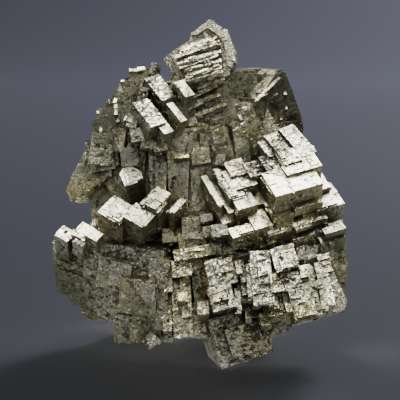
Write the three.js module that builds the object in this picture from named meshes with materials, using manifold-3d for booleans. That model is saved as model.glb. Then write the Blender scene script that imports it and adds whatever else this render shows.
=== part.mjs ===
// A marcasite specimen: one cluster of blocky, stepped, intergrown crystals with no matrix.
// It stands on three small flats and its best side faces -Y. Units are millimetres, +Z is up.
//
// The crystals are placed in the front view: x to the right, y away from the viewer, z up the
// view. The finished cluster is then turned by VIEW_TILT, because it is looked at from above.
import * as THREE from 'three';
import { mergeVertices } from 'three/addons/utils/BufferGeometryUtils.js';
import Module from 'manifold-3d';

// The driving dimensions
const VIEW_TILT = 10; // degrees that the front view looks down
const FLOOR_LEVEL = 2.5; // where the lowest corners are cut flat, so that the specimen rests
const STEP = 0.7; // usual height of a growth step
const STEP_EDGE = 0.3; // what a growth step leaves free along the edges of its face
const SEED = 11;
const BACK_SEED = 41; // the back has its own, so that it stays when the front is changed

// The outline that the specimen shows from the front, clockwise from the top of the spire.
const FRONT_OUTLINE = [
  [2.5, 86.2], [5.5, 84], [7.5, 80], [9.3, 74.5], [17.5, 74], [20.8, 72.5], [24.3, 66.3],
  [26.3, 58.5], [28.8, 53.8], [30.3, 47.5], [33, 45.8], [35.5, 41.3], [36.8, 33.3], [36.5, 25.8],
  [35.8, 17.3], [35, 14.3], [23, 11.5], [23, 9.3], [18.8, 7.3], [18.5, 4], [9.3, 0], [5.5, 0.5],
  [2.5, 6.5], [-3.8, 7.8], [-8.8, 6.3], [-13.3, 3.8], [-20.8, 5.8], [-22, 11], [-26.3, 12],
  [-33, 15.5], [-35.3, 18.3], [-37, 24.3], [-37.3, 30], [-36, 32], [-31.3, 33.8], [-29.3, 35.5],
  [-26.8, 36.3], [-25.8, 38], [-32.5, 41.5], [-34, 45.3], [-28.3, 54.3], [-27, 61.8],
  [-23.8, 67.3], [-20.5, 71.3], [-18.8, 74.5], [-12, 75.5], [-9, 73.5], [-7, 78.8], [-2, 83.3],
];

// The outline of the back half of the specimen from the side, as depth and height.
const BACK_OUTLINE = [
  [-3, 2], [-3, 55], [1, 70], [2, 84], [8, 84], [13, 77], [19, 66], [23, 50], [26, 32], [25, 12],
  [22, 2],
];

// The bulk that the crystals grew from, which they cover.
const CORE_FRONT = [
  [1.5, 78], [5, 72], [15, 67], [19, 60], [22, 50], [27, 40], [29, 31], [28, 20], [20, 15],
  [13, 9], [6, 8], [3, 12], [-6, 12], [-14, 11], [-19, 15], [-28, 20], [-29, 27], [-24, 32],
  [-20, 40], [-24, 46], [-22, 54], [-20, 62], [-15, 69], [-9, 69], [-4, 76],
];
const CORE_SIDE = [
  [-2, 5], [-6, 10], [-7, 38], [-5, 42], [-5, 56], [-3, 64], [-3, 79], [2, 79], [5, 70],
  [10, 54], [13, 34], [12, 14], [8, 6],
];

const wasm = await Module();
wasm.setup();

const rad = THREE.MathUtils.degToRad;

// Repeatable numbers from 0 to 1.
function seededNumbers(seed) {
  let state = seed;
  return () => {
    state = (state * 1664525 + 1013904223) % 4294967296;
    return state / 4294967296;
  };
}
let chance = seededNumbers(SEED);
const between = (low, high) => low + (high - low) * chance();

// A closed three.js geometry as a solid that can be joined and cut.
function solidOf(geometry) {
  geometry.deleteAttribute('normal');
  geometry.deleteAttribute('uv');
  const merged = mergeVertices(geometry, 1e-4);
  return new wasm.Manifold(new wasm.Mesh({
    numProp: 3,
    vertProperties: merged.attributes.position.array,
    triVerts: new Uint32Array(merged.index.array),
  }));
}

// The turn of a crystal whose three edges leave its nearest corner in these directions of the
// front view, in degrees anticlockwise from the right: across, back and down.
function turnFromEdges(across, back, down) {
  const acrossBack = Math.cos(rad(across - back));
  const acrossDown = Math.cos(rad(across - down));
  const backDown = Math.cos(rad(back - down));
  const acrossSlope = Math.sqrt((-acrossBack * acrossDown) / backDown);
  const edge = (angle, slope) =>
    new THREE.Vector3(Math.cos(rad(angle)), slope, Math.sin(rad(angle))).normalize();
  const x = edge(across, acrossSlope);
  const y = edge(back, -acrossBack / acrossSlope);
  const z = edge(down, -acrossDown / acrossSlope).negate();
  return new THREE.Matrix4().makeBasis(x, y, z);
}

// The turn of a crystal whose front faces the viewer: nod leans its top forward, swing turns its
// front to the right, and roll turns it anticlockwise in the view.
function turnFromTilt(nod, swing, roll) {
  return new THREE.Matrix4()
    .makeRotationY(rad(-roll))
    .multiply(new THREE.Matrix4().makeRotationX(rad(nod)))
    .multiply(new THREE.Matrix4().makeRotationZ(rad(swing)));
}

// The same crystal set as it shows on the back of the specimen.
function turnedBehind(turn) {
  return new THREE.Matrix4().makeRotationZ(Math.PI).multiply(turn);
}

// The sets of parallel crystals that the cluster is made of. Each has a base, a point of its
// main surface, that the growth heights of its plates are counted from.
const RIGHT_SET = { turn: turnFromEdges(16, 121, 268), base: [18.3, -21, 42] };
const EDGE_SET = { turn: turnFromEdges(20, 129, 258), base: [25, -12.6, 51.8] };
const PLATE_SET = { turn: turnFromEdges(20, 128, 250), base: [-9.3, -12, 65.5] };
const LEFT_SET = { turn: turnFromEdges(46, 151, 270), base: [-13.8, -19.6, 34.5] };
const SHOULDER_SET = { turn: turnFromEdges(57, 175, 281), base: [14.5, -6, 66.3] };
const FACING_SET = { turn: turnFromTilt(-12, 8, 14), base: [16, -19, 26] };
const COLUMN_SET = { turn: turnFromTilt(-4, 4, 6), base: [-5, -13, 26] };

// A box that spans from low to high in a crystal's own frame: x across, y back, z up from its
// nearest top corner, which is at the point called at.
function boxIn(at, turn, low, high) {
  const size = high.map((value, i) => value - low[i]);
  const middle = high.map((value, i) => (value + low[i]) / 2);
  const geometry = new THREE.BoxGeometry(...size)
    .translate(...middle)
    .applyMatrix4(turn)
    .translate(...at);
  return solidOf(geometry);
}

// The part of a face that a growth step covers: a rectangle that keeps to one corner of it.
function stepPatch(width, height) {
  const w = width * between(0.45, 0.8);
  const h = height * between(0.45, 0.8);
  const left = chance() < 0.5 ? STEP_EDGE : width - w - STEP_EDGE;
  const low = chance() < 0.5 ? STEP_EDGE : height - h - STEP_EDGE;
  return [left, low, left + w, low + h];
}

// A crystal: a block that may have a growth step on its top and on its front.
function crystal(at, size, turn, steps = 0) {
  const [w, d, h] = size;
  const solids = [boxIn(at, turn, [0, 0, -h], [w, d, 0])];
  for (let n = 0; n < steps; n += 1) {
    const rise = STEP * between(0.6, 1.3);
    const top = stepPatch(w, d);
    const front = stepPatch(w, h);
    solids.push(boxIn(at, turn, [top[0], top[1], -STEP], [top[2], top[3], rise]));
    solids.push(boxIn(at, turn, [front[0], -rise, front[1] - h], [front[2], STEP, front[3] - h]));
  }
  return solids;
}

// A crystal of a set, placed by where its nearest top corner shows in the front view and by how
// far its top has grown above the base of the set.
function plate(set, [x, z], rise, size, steps = 0) {
  const up = new THREE.Vector3().setFromMatrixColumn(set.turn, 2);
  const [bx, by, bz] = set.base;
  const y = by + (rise - up.x * (x - bx) - up.z * (z - bz)) / up.y;
  return crystal([x, y, z], size, set.turn, steps);
}

// A prism: an outline in a crystal's own x and z that runs straight back.
function prism(at, outline, depth, turn) {
  const shape = new THREE.Shape(outline.map(([x, z]) => new THREE.Vector2(x, z)));
  const geometry = new THREE.ExtrudeGeometry(shape, { depth, bevelEnabled: false })
    .rotateX(Math.PI / 2)
    .translate(0, depth, 0)
    .applyMatrix4(turn)
    .translate(...at);
  return solidOf(geometry);
}

// A prism whose outline is given as it shows in the front view, with its corner at the pivot.
function leaningPrism(outline, pivot, depth, turn) {
  const [px, , pz] = pivot;
  return prism(pivot, outline.map(([x, z]) => [x - px, z - pz]), depth, turn);
}

// Whether a point of a plane lies in a closed outline.
function isInside(outline, u, v) {
  let inside = false;
  outline.forEach(([au, av], i) => {
    const [bu, bv] = outline[(i + 1) % outline.length];
    const crosses = av > v !== bv > v;
    if (crosses && u < ((bu - au) * (v - av)) / (bv - av) + au) inside = !inside;
  });
  return inside;
}

// Whether a block stays within the outlines of the back half, seen from the front and the side.
function staysInside(at, size, turn) {
  const [w, d, h] = size;
  for (let corner = 0; corner < 8; corner += 1) {
    const point = new THREE.Vector3(corner & 1 ? w : 0, corner & 2 ? d : 0, corner & 4 ? -h : 0)
      .applyMatrix4(turn)
      .add(new THREE.Vector3(...at));
    if (!isInside(FRONT_OUTLINE, point.x, point.z)) return false;
    if (!isInside(BACK_OUTLINE, point.y, point.z)) return false;
  }
  return true;
}

// The front of the specimen

// The stepped plates right of the middle and the big block at the right, with bright tops.
function rightPlates() {
  return [
    plate(RIGHT_SET, [20, 41], -4.5, [13, 24, 13]),
    plate(RIGHT_SET, [7, 38], -6.4, [14, 18, 12]),
    plate(RIGHT_SET, [18.3, 42], 0, [12.6, 8.6, 6.6]),
    plate(RIGHT_SET, [21.5, 47.3], 0.8, [9, 8, 6], 1),
    plate(RIGHT_SET, [17, 47.2], -0.4, [5.4, 7, 6]),
    plate(EDGE_SET, [25, 51.8], 0, [4.4, 10.4, 7]),
    plate(EDGE_SET, [20.3, 51.3], -0.9, [5, 8.6, 6]),
    plate(EDGE_SET, [17, 51.8], -1.8, [3.6, 5.4, 6]),
    plate(RIGHT_SET, [28.5, 38.5], -6.5, [7.4, 7.8, 8], 1),
    plate(RIGHT_SET, [32.3, 33.5], -9.9, [3.6, 3, 9]),
    plate(RIGHT_SET, [29.6, 30.6], -12, [6.4, 6, 9]),
    plate(RIGHT_SET, [23, 38.8], -4.6, [7.6, 5, 2.4]),
    plate(RIGHT_SET, [22.8, 34.6], -8, [9, 5, 2], 1),
    plate(RIGHT_SET, [17.8, 36.6], -5.8, [5.4, 6, 3]),
    plate(RIGHT_SET, [16.6, 33], -8.4, [7, 6, 4], 1),
    plate(RIGHT_SET, [22.6, 31.4], -10.8, [10, 6, 4]),
    plate(RIGHT_SET, [4.5, 39.8], -5, [1.5, 11, 9]),
    plate(RIGHT_SET, [7.3, 41.5], -3.8, [4, 8.6, 8], 1),
    plate(RIGHT_SET, [9.3, 38.8], -4.4, [5.2, 6, 7]),
    plate(RIGHT_SET, [8, 43.5], -3.1, [6.6, 7, 6]),
    plate(RIGHT_SET, [7.8, 46.8], -2.5, [4.8, 5.5, 6]),
    plate(RIGHT_SET, [12.4, 46.8], -2, [3.8, 5, 6]),
    plate(RIGHT_SET, [4.3, 47], -3.7, [4.4, 2.8, 5]),
    plate(RIGHT_SET, [8, 32], -7.8, [5.8, 3.4, 4], 1),
    plate(RIGHT_SET, [13.4, 34], -7, [4.6, 6, 8]),
    plate(RIGHT_SET, [5.6, 35.4], -8.4, [5.4, 6, 6]),
  ];
}

// The bright plates like stairs at the upper left, and the dull crystals that they stand on.
function upperPlates() {
  return [
    plate(PLATE_SET, [-9.3, 65.5], 0, [4.4, 8, 10]),
    plate(PLATE_SET, [-4.6, 60.2], 0.3, [1.8, 6.4, 6]),
    plate(PLATE_SET, [-3.5, 66.3], 2.4, [2.8, 5.3, 3.5]),
    plate(PLATE_SET, [-11.8, 58.9], -1.4, [4.6, 8.5, 9]),
    plate(PLATE_SET, [-8.6, 57.2], -2.2, [2.8, 3.6, 6]),
    crystal([-9.4, -8.4, 63.4], [4.6, 8, 8], turnFromTilt(0, -8, -24)),
    crystal([-7.6, -8, 60], [6.4, 8, 6], turnFromTilt(4, -4, -14)),
    crystal([-6.2, -7, 67], [4.4, 8, 8], turnFromTilt(4, -10, 10)),
  ];
}

// The dark shoulder at the upper left: upright blocks that go down along the outline, each
// rolled its own way, so that the outline is ragged.
function leftShoulder() {
  const edge = [
    [-17.7, -2, 74.2, 5.8, -2], [-20, -3, 71, 7, 16], [-21.6, -4.4, 68.4, 8, -6],
    [-23.8, -4, 65.6, 8.4, 22], [-25.4, -5.2, 63.8, 8, 6], [-27, -5.6, 60.8, 8.6, 20],
    [-26.6, -6.4, 58.2, 6, -8], [-28.4, -5.4, 55.8, 7, 10],
  ];
  const blocks = edge.map(([x, y, z, width, roll], n) =>
    crystal([x, y, z], [width, 9, 8], turnFromTilt(-3 + 3 * (n % 3), -6 - 3 * n, roll)));
  return [
    ...blocks,
    crystal([-12, -4, 75.4], [1.5, 4, 7], turnFromTilt(-6, -14, -14)),
    crystal([-14.8, -5.4, 70.4], [4.6, 6, 8], turnFromTilt(-2, -8, 2)),
    crystal([-20.8, -6.6, 64.4], [4.8, 8, 5], turnFromTilt(-6, -14, 12), 1),
    crystal([-22.8, -7.6, 59.4], [5, 8, 6], turnFromTilt(-3, -18, -8)),
    crystal([-19.6, -9.6, 54], [4.4, 6, 4.6], turnFromTilt(4, -8, 3)),
    crystal([-16.4, -9, 59.4], [4.4, 6, 6], turnFromTilt(-8, 6, -16)),
    crystal([-19.8, -8.4, 61.6], [4, 6, 4], turnFromTilt(-12, -10, 26)),
  ];
}

// The slab that points down to the left, and the small octagonal crystal beside it.
function leftWing() {
  const slab = [
    [-29, 53.8], [-22.4, 54], [-21.8, 46.8], [-24, 46.2], [-32.5, 41.7], [-34, 44.4], [-30.5, 51.3],
  ];
  const rim = [[-33.9, 44.2], [-32.6, 41.4], [-23.6, 46], [-23.2, 47.4]];
  const octagon = [
    [-19.8, 48.6], [-19, 50.3], [-16.8, 50.6], [-14.3, 48.8], [-14, 46.3], [-18.3, 44.6],
  ];
  const lean = turnFromTilt(-6, -20, 0);
  return [[
    leaningPrism(slab, [-21.8, -6.5, 46.8], 9, lean),
    leaningPrism(rim, [-23.2, -7.4, 47.4], 8, lean),
    leaningPrism(octagon, [-14, -12.4, 46.3], 7, turnFromTilt(-37, -8, 0)),
    boxIn([-26, -2, 49], turnFromTilt(6, -10, -6), [0, 0, -12], [12, 9, 0]),
    boxIn([-17, -4, 45], turnFromTilt(10, 6, 8), [0, 0, -8], [8, 9, 0]),
  ]];
}

// The bright stepped plates at the left, on top of the big dark block.
function leftPlates() {
  return [
    plate(LEFT_SET, [-13.8, 34.5], 0, [5.5, 6.2, 6]),
    plate(LEFT_SET, [-12.5, 33.8], -0.3, [4.5, 1.4, 5]),
    plate(LEFT_SET, [-10, 33.8], -0.6, [3.8, 2.2, 6]),
    plate(LEFT_SET, [-10.8, 38.3], 0.9, [5.8, 4.8, 11], 1),
    plate(LEFT_SET, [-6.3, 38], -0.2, [5.2, 1.6, 10]),
    plate(LEFT_SET, [-9.2, 40.6], 1.7, [3.6, 4, 11]),
    plate(LEFT_SET, [-19.5, 35.3], -1.4, [6.6, 6.8, 7], 1),
    plate(LEFT_SET, [-28, 31], -6.2, [4.8, 4.4, 7]),
    plate(LEFT_SET, [-32.5, 31], -7.8, [3.6, 4, 8]),
    plate(LEFT_SET, [-28.6, 29.8], -6.5, [2, 3, 5]),
    plate(LEFT_SET, [-19, 31.8], -2.2, [2.6, 3, 5]),
    plate(LEFT_SET, [-25.2, 31.2], -4.2, [2.8, 3.6, 5]),
  ];
}

// The big dark block at the lower left and the lobes that round its outline.
function leftBlock() {
  return [
    crystal([-28.5, -9, 31.3], [20.6, 19, 20], turnFromTilt(16, -16, -3), 1),
    crystal([-36.6, -4.4, 30.6], [10, 15, 10.5], turnFromTilt(12, -18, 4)),
    crystal([-34.8, -3.6, 24], [8, 14, 5], turnFromTilt(14, -18, -14)),
    crystal([-34.6, -3.2, 21.4], [10, 14, 3], turnFromTilt(16, -18, -22)),
    crystal([-31, -4.4, 19.4], [10, 14, 4.2], turnFromTilt(16, -18, -18)),
    crystal([-26.4, -6, 17.6], [14, 15, 4.6], turnFromTilt(14, -18, -8)),
    crystal([-21.4, -8.6, 13], [8, 13, 7], turnFromTilt(10, -14, 2)),
    crystal([-16.5, -11.4, 13.5], [7.4, 14, 7], turnFromTilt(8, -8, -6)),
    crystal([-14.2, -12.6, 7], [3.2, 8, 3.2], turnFromTilt(0, -6, 44)),
    crystal([-12.4, -14.4, 27], [4.9, 12, 17.6], turnFromTilt(8, -10, -2)),
    crystal([-24.6, -11.4, 27.6], [9, 8, 8], turnFromTilt(15, -14, -8), 1),
    crystal([-19.4, -13, 22.4], [9.4, 8, 9], turnFromTilt(15, -16, -4), 1),
  ];
}

// The brassy columns in the middle of the bottom, and the grey blocks over them.
function middleColumns() {
  return [
    crystal([-6.6, -15, 29], [10.2, 8, 2.7], turnFromTilt(-8, 4, 10)),
    crystal([-7.3, -13.4, 26.4], [4.7, 12, 18.8], turnFromTilt(-2, 4, 3), 1),
    crystal([-2.4, -12, 26.6], [4.4, 12, 19.4], turnFromTilt(0, 6, 6)),
    crystal([-0.8, -15.6, 16.6], [3, 6, 3], turnFromTilt(-6, 4, 6)),
    crystal([-5.5, -15, 18.8], [2.2, 6, 2.6], turnFromTilt(-10, 0, 6)),
    crystal([-7, -14.4, 26.4], [4.8, 6, 4], turnFromTilt(-10, 0, 4)),
    crystal([-3, -13.2, 15.8], [3.6, 8, 8.4], turnFromTilt(2, 6, 8)),
    crystal([-4.5, -13, 37], [4.6, 6, 5.4], turnFromTilt(2, 8, 2)),
    crystal([0, -13.6, 37.6], [3, 6, 1.8], turnFromTilt(4, 10, 8)),
    crystal([0.6, -14.6, 34.6], [2.6, 6, 2.6], turnFromTilt(4, 10, 10)),
    crystal([-5.4, -11.6, 33], [6.6, 6, 5], turnFromTilt(-6, 0, 4)),
  ];
}

// The blocks with bright speckled fronts in the middle and at the lower right.
function rightBlocks() {
  const corner = [
    [30.5, 24.8], [31.9, 25.6], [34.6, 19.8], [35.8, 17], [35.2, 15], [30.8, 13.8], [29, 14.4],
  ];
  return [
    crystal([1, -16.4, 26], [7, 9, 6.4], turnFromTilt(-12, 4, 13), 1),
    crystal([1.9, -17.6, 20], [5.6, 9, 6.2], turnFromTilt(-14, 2, 14), 1),
    crystal([8.3, -16, 26.6], [2.2, 9, 4], turnFromTilt(-12, 6, 8)),
    crystal([9.6, -16.8, 23], [1.8, 9, 5], turnFromTilt(-12, 6, 8)),
    crystal([11.8, -18.6, 28.8], [5.2, 12, 13.4], turnFromTilt(-12, 6, 5), 1),
    crystal([16.8, -19.4, 29.4], [5.8, 12, 6], turnFromTilt(-14, 6, 16), 1),
    crystal([15, -18.2, 22.8], [12.4, 12, 9.6], FACING_SET.turn, 1),
    crystal([21.2, -20.6, 19.6], [6.8, 8, 7.6], FACING_SET.turn, 1),
    crystal([23.9, -19.4, 25.4], [2, 8, 3], turnFromTilt(-12, 8, 10)),
    crystal([27.6, -18, 26], [2.9, 10, 11], turnFromTilt(-12, 10, 12)),
    [leaningPrism(corner, [29, -19, 14.4], 10, turnFromTilt(-10, 12, 0))],
    crystal([15.2, -19.4, 15.4], [13.6, 10, 2.6], turnFromTilt(-20, 6, 12)),
    crystal([23.4, -14.6, 30], [2, 8, 3.4], turnFromTilt(-4, 10, 4)),
    crystal([24.6, -12.6, 30.4], [11.4, 12, 10], turnFromTilt(2, 14, 3), 1),
    crystal([28.2, -10, 22], [7.8, 12, 9], turnFromTilt(0, 16, 4)),
    crystal([9, -15.4, 19], [7, 9, 5], turnFromTilt(-4, 8, 10)),
  ];
}

// The block whose lowest corner the specimen stands on, and its neighbour.
function bottomBlock() {
  return [
    crystal([1.7, -15, 12], [13.6, 12, 12.6], turnFromTilt(6, 12, 17), 1),
    crystal([8.4, -12.6, 13.6], [12.6, 12, 8.8], turnFromTilt(6, 12, 19), 1),
    crystal([11, -16.2, 14.4], [3, 8, 2], turnFromTilt(-10, 8, 8)),
    crystal([6, -15.8, 9.6], [8.4, 6, 7.4], turnFromTilt(6, 12, 17)),
  ];
}

// The dark shoulder at the upper right: a broad facet that faces right under a bright edge.
function rightShoulder() {
  const at = [14.5, -6, 66.3];
  const turn = turnFromTilt(8, 48, 0);
  const facet = [
    [0, 0], [7.1, 6.6], [8.8, 6.6], [10.6, 5.4], [13.3, 0.6], [16, -4.5], [17.4, -7.8], [17, -16],
    [3, -16], [1.6, -6.2],
  ];
  return [
    [
      prism(at, facet, 10, turn),
      boxIn([13.9, -7, 66], turnFromTilt(-24, 20, 53), [0, 0, -0.4], [8.6, 2, 0.3]),
    ],
    crystal([4.6, -3.6, 72.4], [9.6, 9, 8], turnFromTilt(6, 8, 2), 1),
    crystal([11.8, -2.4, 72.6], [6, 8, 7], turnFromTilt(6, 14, -2)),
    crystal([6.8, -5.2, 66.8], [7.6, 8, 9], turnFromTilt(8, 10, -4)),
    crystal([8, -7.4, 59.4], [8, 8, 9], turnFromTilt(8, 18, 6)),
    crystal([12.8, -7.6, 57.8], [4.4, 6, 8], turnFromTilt(8, 24, 8)),
    crystal([15, -3, 60], [10, 9, 10], turnFromTilt(4, 30, 4)),
  ];
}

// The spire: a leaning slab with a rounded, ribbed face and a bright rim.
function spire() {
  const slab = [
    [-7.2, 77.4], [-4.6, 79.8], [-2.6, 81], [-2.2, 83], [-0.4, 84], [2.4, 86.2], [5.4, 84.3],
    [7.2, 80.4], [8, 75], [7.2, 72], [2, 70.6], [-2.4, 70.8], [-5, 73.4],
  ];
  const rim = [
    [2.4, 86.4], [3.4, 86], [4.6, 84.2], [6.8, 83.6], [7.8, 80.4], [8.5, 76], [7.8, 73.8],
    [6.7, 74.8], [6, 80], [4.4, 82.4], [1.8, 84.2], [-0.8, 82.4], [-2.4, 82.4], [-0.4, 84.2],
  ];
  const front = -6.5;
  const ribs = [];
  const ribCount = 12;
  for (let n = 0; n < ribCount; n += 1) {
    const height = 70.2 + n * 0.86;
    const proud = 1.7 - 0.3 * n + 0.6 * Math.sin((Math.PI * (n + 1)) / (ribCount + 1));
    const left = -3.4 - 0.3 * n + between(-0.6, 1) + (n > 8 ? 1.5 * (n - 8) : 0);
    const right = 6.2 - 0.14 * n + between(-1.6, 0.4);
    const lie = turnFromTilt(-41, -4, between(9, 16));
    ribs.push(boxIn([left, front - proud, height], lie, [0, 0, 0], [right - left, 4, 1.05]));
  }
  const lean = turnFromTilt(-12, -4, 0);
  return [
    [
      leaningPrism(slab, [0, front, 71], 8, lean),
      leaningPrism(rim, [0, front - 0.8, 71], 7, lean),
      ...ribs,
    ],
    crystal([7, -0.5, 79], [2.2, 6, 9], turnFromTilt(-4, 14, -5)),
    crystal([-9.2, -3.1, 76.4], [5, 7, 7], turnFromTilt(-6, -24, 30)),
    crystal([-2.8, -5.1, 71.2], [9.6, 8, 6], turnFromTilt(7, 2, -3), 1),
    crystal([-2.4, -6.1, 66.4], [9, 8, 6.6], turnFromTilt(5, -2, 2)),
    crystal([-6, -2.1, 73.4], [5, 7, 8], turnFromTilt(4, -10, 4)),
  ];
}

// The upright ridges, the low ribs and the small tangled crystals between the bright plates.
function middle() {
  const ridges = [
    [-15.6, -8.4, 53.8, 2.2, 9], [-12.8, -9, 54.4, 1.8, 12.4], [-10.9, -9.6, 50.4, 2.8, 8],
    [-8.2, -8.8, 53.2, 2.4, 12], [-5.6, -8.2, 51, 3, 12], [-2.4, -7.8, 48.6, 3.6, 10],
  ];
  const ground = [
    [-15, 56], [-6, 58.6], [6, 60], [8.6, 52], [6, 44], [-1, 38], [-7, 38.6], [-12, 41], [-15, 46],
  ];
  const blocks = [
    crystal([-10.2, -7.4, 57.4], [8.6, 8, 7], turnFromTilt(4, -6, -10)),
    crystal([-2, -7, 60.8], [4.4, 8, 6], turnFromTilt(8, -14, -12)),
    crystal([1.6, -7.4, 59], [4.6, 8, 6], turnFromTilt(-4, 8, 16)),
    crystal([-2.6, -7.8, 55.2], [4.6, 7, 5.6], turnFromTilt(-8, -10, 8)),
    crystal([1.4, -8, 53.4], [4, 7, 5.4], turnFromTilt(6, 14, -14)),
    crystal([4.6, -6.6, 56.4], [5.4, 8, 8], turnFromTilt(6, 12, -8)),
    crystal([-6.6, -9.8, 52.9], [4.2, 6, 1.5], turnFromTilt(0, 4, 0)),
  ];
  const ribs = [];
  for (let n = 0; n < 6; n += 1) {
    const at = [between(-3, 0), -7.4 + between(-0.3, 0.3), 61.6 + 1.35 * n];
    const lie = turnFromTilt(between(-22, -6), -4, between(10, 28));
    ribs.push(boxIn(at, lie, [0, 0, 0], [between(3, 8), 4, 1]));
  }
  const tangle = [];
  for (let n = 0; n < 4; n += 1) {
    const at = [between(-12, 6), between(-9.4, -7.8), between(44, 59)];
    const turn = turnFromTilt(between(-8, 10), between(-25, 25), between(-16, 16));
    tangle.push(crystal(at, [between(1.6, 3.6), 5, between(1.4, 3.6)], turn));
  }
  return [
    ...ridges.map(([x, y, z, width, height], n) =>
      crystal([x, y, z], [width, 7, height], turnFromTilt(2, n % 2 ? 10 : -12, n % 2 ? 3 : -2), 0)),
    [prism([0, -7.2, 0], ground, 6, new THREE.Matrix4())],
    ribs,
    ...blocks,
    ...tangle,
  ];
}

// The back and the sides

// The turn of the crystals that grew nearest to a place of the front view.
const SET_PLACES = [
  { x: 2, z: 78, set: COLUMN_SET }, { x: 18, z: 62, set: SHOULDER_SET },
  { x: -18, z: 64, set: PLATE_SET }, { x: -24, z: 24, set: LEFT_SET },
  { x: -2, z: 16, set: COLUMN_SET }, { x: 2, z: 44, set: PLATE_SET },
  { x: 24, z: 40, set: RIGHT_SET }, { x: 24, z: 18, set: FACING_SET },
];
function turnNear(x, z) {
  const distance = (place) => Math.hypot(place.x - x, place.z - z);
  return SET_PLACES.reduce((a, b) => (distance(b) < distance(a) ? b : a)).set.turn;
}

// Blocks in rows over the back, each shrunk until it stays within the outlines.
function backBlocks() {
  chance = seededNumbers(BACK_SEED);
  const made = [];
  const spacing = 10.7;
  for (let z = 12; z < 84; z += spacing) {
    for (let x = -33; x < 36; x += spacing) {
      for (const depth of [12, 23]) {
        const near = turnNear(-x + between(-5, 5), z + between(-5, 5));
        const jitter = turnFromTilt(between(-5, 5), between(-5, 5), between(-5, 5));
        const turn = jitter.multiply(turnedBehind(near));
        let at = [x + between(-2, 2), depth + between(-3, 2) - 0.003 * x * x, z + between(-2, 2)];
        let size = [between(10, 15), between(11, 15), between(10, 15)];
        for (let tries = 0; tries < 6 && !staysInside(at, size, turn); tries += 1) {
          at = [at[0] * 0.97, at[1] - 0.8, at[2]];
          size = size.map((value) => value * 0.88);
        }
        const steps = depth > 20 && chance() < 0.4 ? 1 : 0;
        if (staysInside(at, size, turn)) made.push(crystal(at, size, turn, steps));
      }
    }
  }
  return made;
}

// The two hidden feet behind, which with the lowest front corner carry the specimen.
function backFeet() {
  return [
    crystal([-20.4, 13.4, 18], [8, 9, 18], turnFromTilt(10, 6, 2)),
    crystal([10.4, 6, 16], [7.4, 11, 18], turnFromTilt(10, -4, 0)),
  ];
}

// The whole cluster

function core() {
  const front = prism([0, -30, 0], CORE_FRONT, 60, new THREE.Matrix4());
  const outline = CORE_SIDE.map(([y, z]) => new THREE.Vector2(y, z));
  const side = new THREE.ExtrudeGeometry(new THREE.Shape(outline), { depth: 90, bevelEnabled: false })
    .translate(0, 0, -45)
    .rotateX(Math.PI / 2)
    .rotateZ(Math.PI / 2);
  return front.intersect(solidOf(side));
}

function cluster() {
  const groups = [
    rightPlates(), upperPlates(), leftShoulder(), leftWing(), leftPlates(), leftBlock(),
    middleColumns(), rightBlocks(), bottomBlock(), rightShoulder(), spire(), middle(),
    backBlocks(), backFeet(),
  ];
  return groups.flat(2).reduce((whole, solid) => whole.add(solid), core());
}

// The outer surface of a solid, with the gaps that are sealed between its crystals filled.
function filled(solid) {
  return solid.decompose().reduce((a, b) => (b.volume() > a.volume() ? b : a));
}

// Turns the cluster out of the front view, cuts the feet flat and puts the origin under it.
function finished(solid) {
  const mesh = solid.getMesh();
  const geometry = new THREE.BufferGeometry();
  geometry.setAttribute('position', new THREE.BufferAttribute(mesh.vertProperties, 3));
  geometry.setIndex(new THREE.BufferAttribute(mesh.triVerts, 1));
  geometry.rotateX(rad(-VIEW_TILT));
  const below = new THREE.BoxGeometry(200, 200, 50).translate(0, 0, FLOOR_LEVEL - 25);
  const cut = filled(solidOf(geometry).subtract(solidOf(below))).getMesh();
  const result = new THREE.BufferGeometry();
  result.setAttribute('position', new THREE.BufferAttribute(cut.vertProperties, 3));
  result.setIndex(new THREE.BufferAttribute(cut.triVerts, 1));
  result.computeBoundingBox();
  const middle = result.boundingBox.getCenter(new THREE.Vector3());
  return result.translate(-middle.x, -middle.y, -result.boundingBox.min.z);
}

const marcasite = new THREE.MeshStandardMaterial({
  name: 'marcasite',
  color: 0xb5b09a,
  roughness: 0.32,
  metalness: 0.95,
});

const specimen = new THREE.Group();
const crystals = new THREE.Mesh(finished(cluster()), marcasite);
crystals.name = 'marcasite_cluster';
specimen.add(crystals);

export default specimen;
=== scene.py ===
"""Marcasite specimen: blocky crystals grown together, dressed for a studio picture.

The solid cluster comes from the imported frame. Its gaps and faces get the small crystals, growth
steps, cracks and pits of the real mineral, joined with it into one closed body with a metallic
finish.
"""

import logging
import math
from dataclasses import dataclass, field
from enum import Enum

import bmesh
import bpy
import numpy as np
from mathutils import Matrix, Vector
from mathutils.bvhtree import BVHTree
from mathutils.kdtree import KDTree


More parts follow.
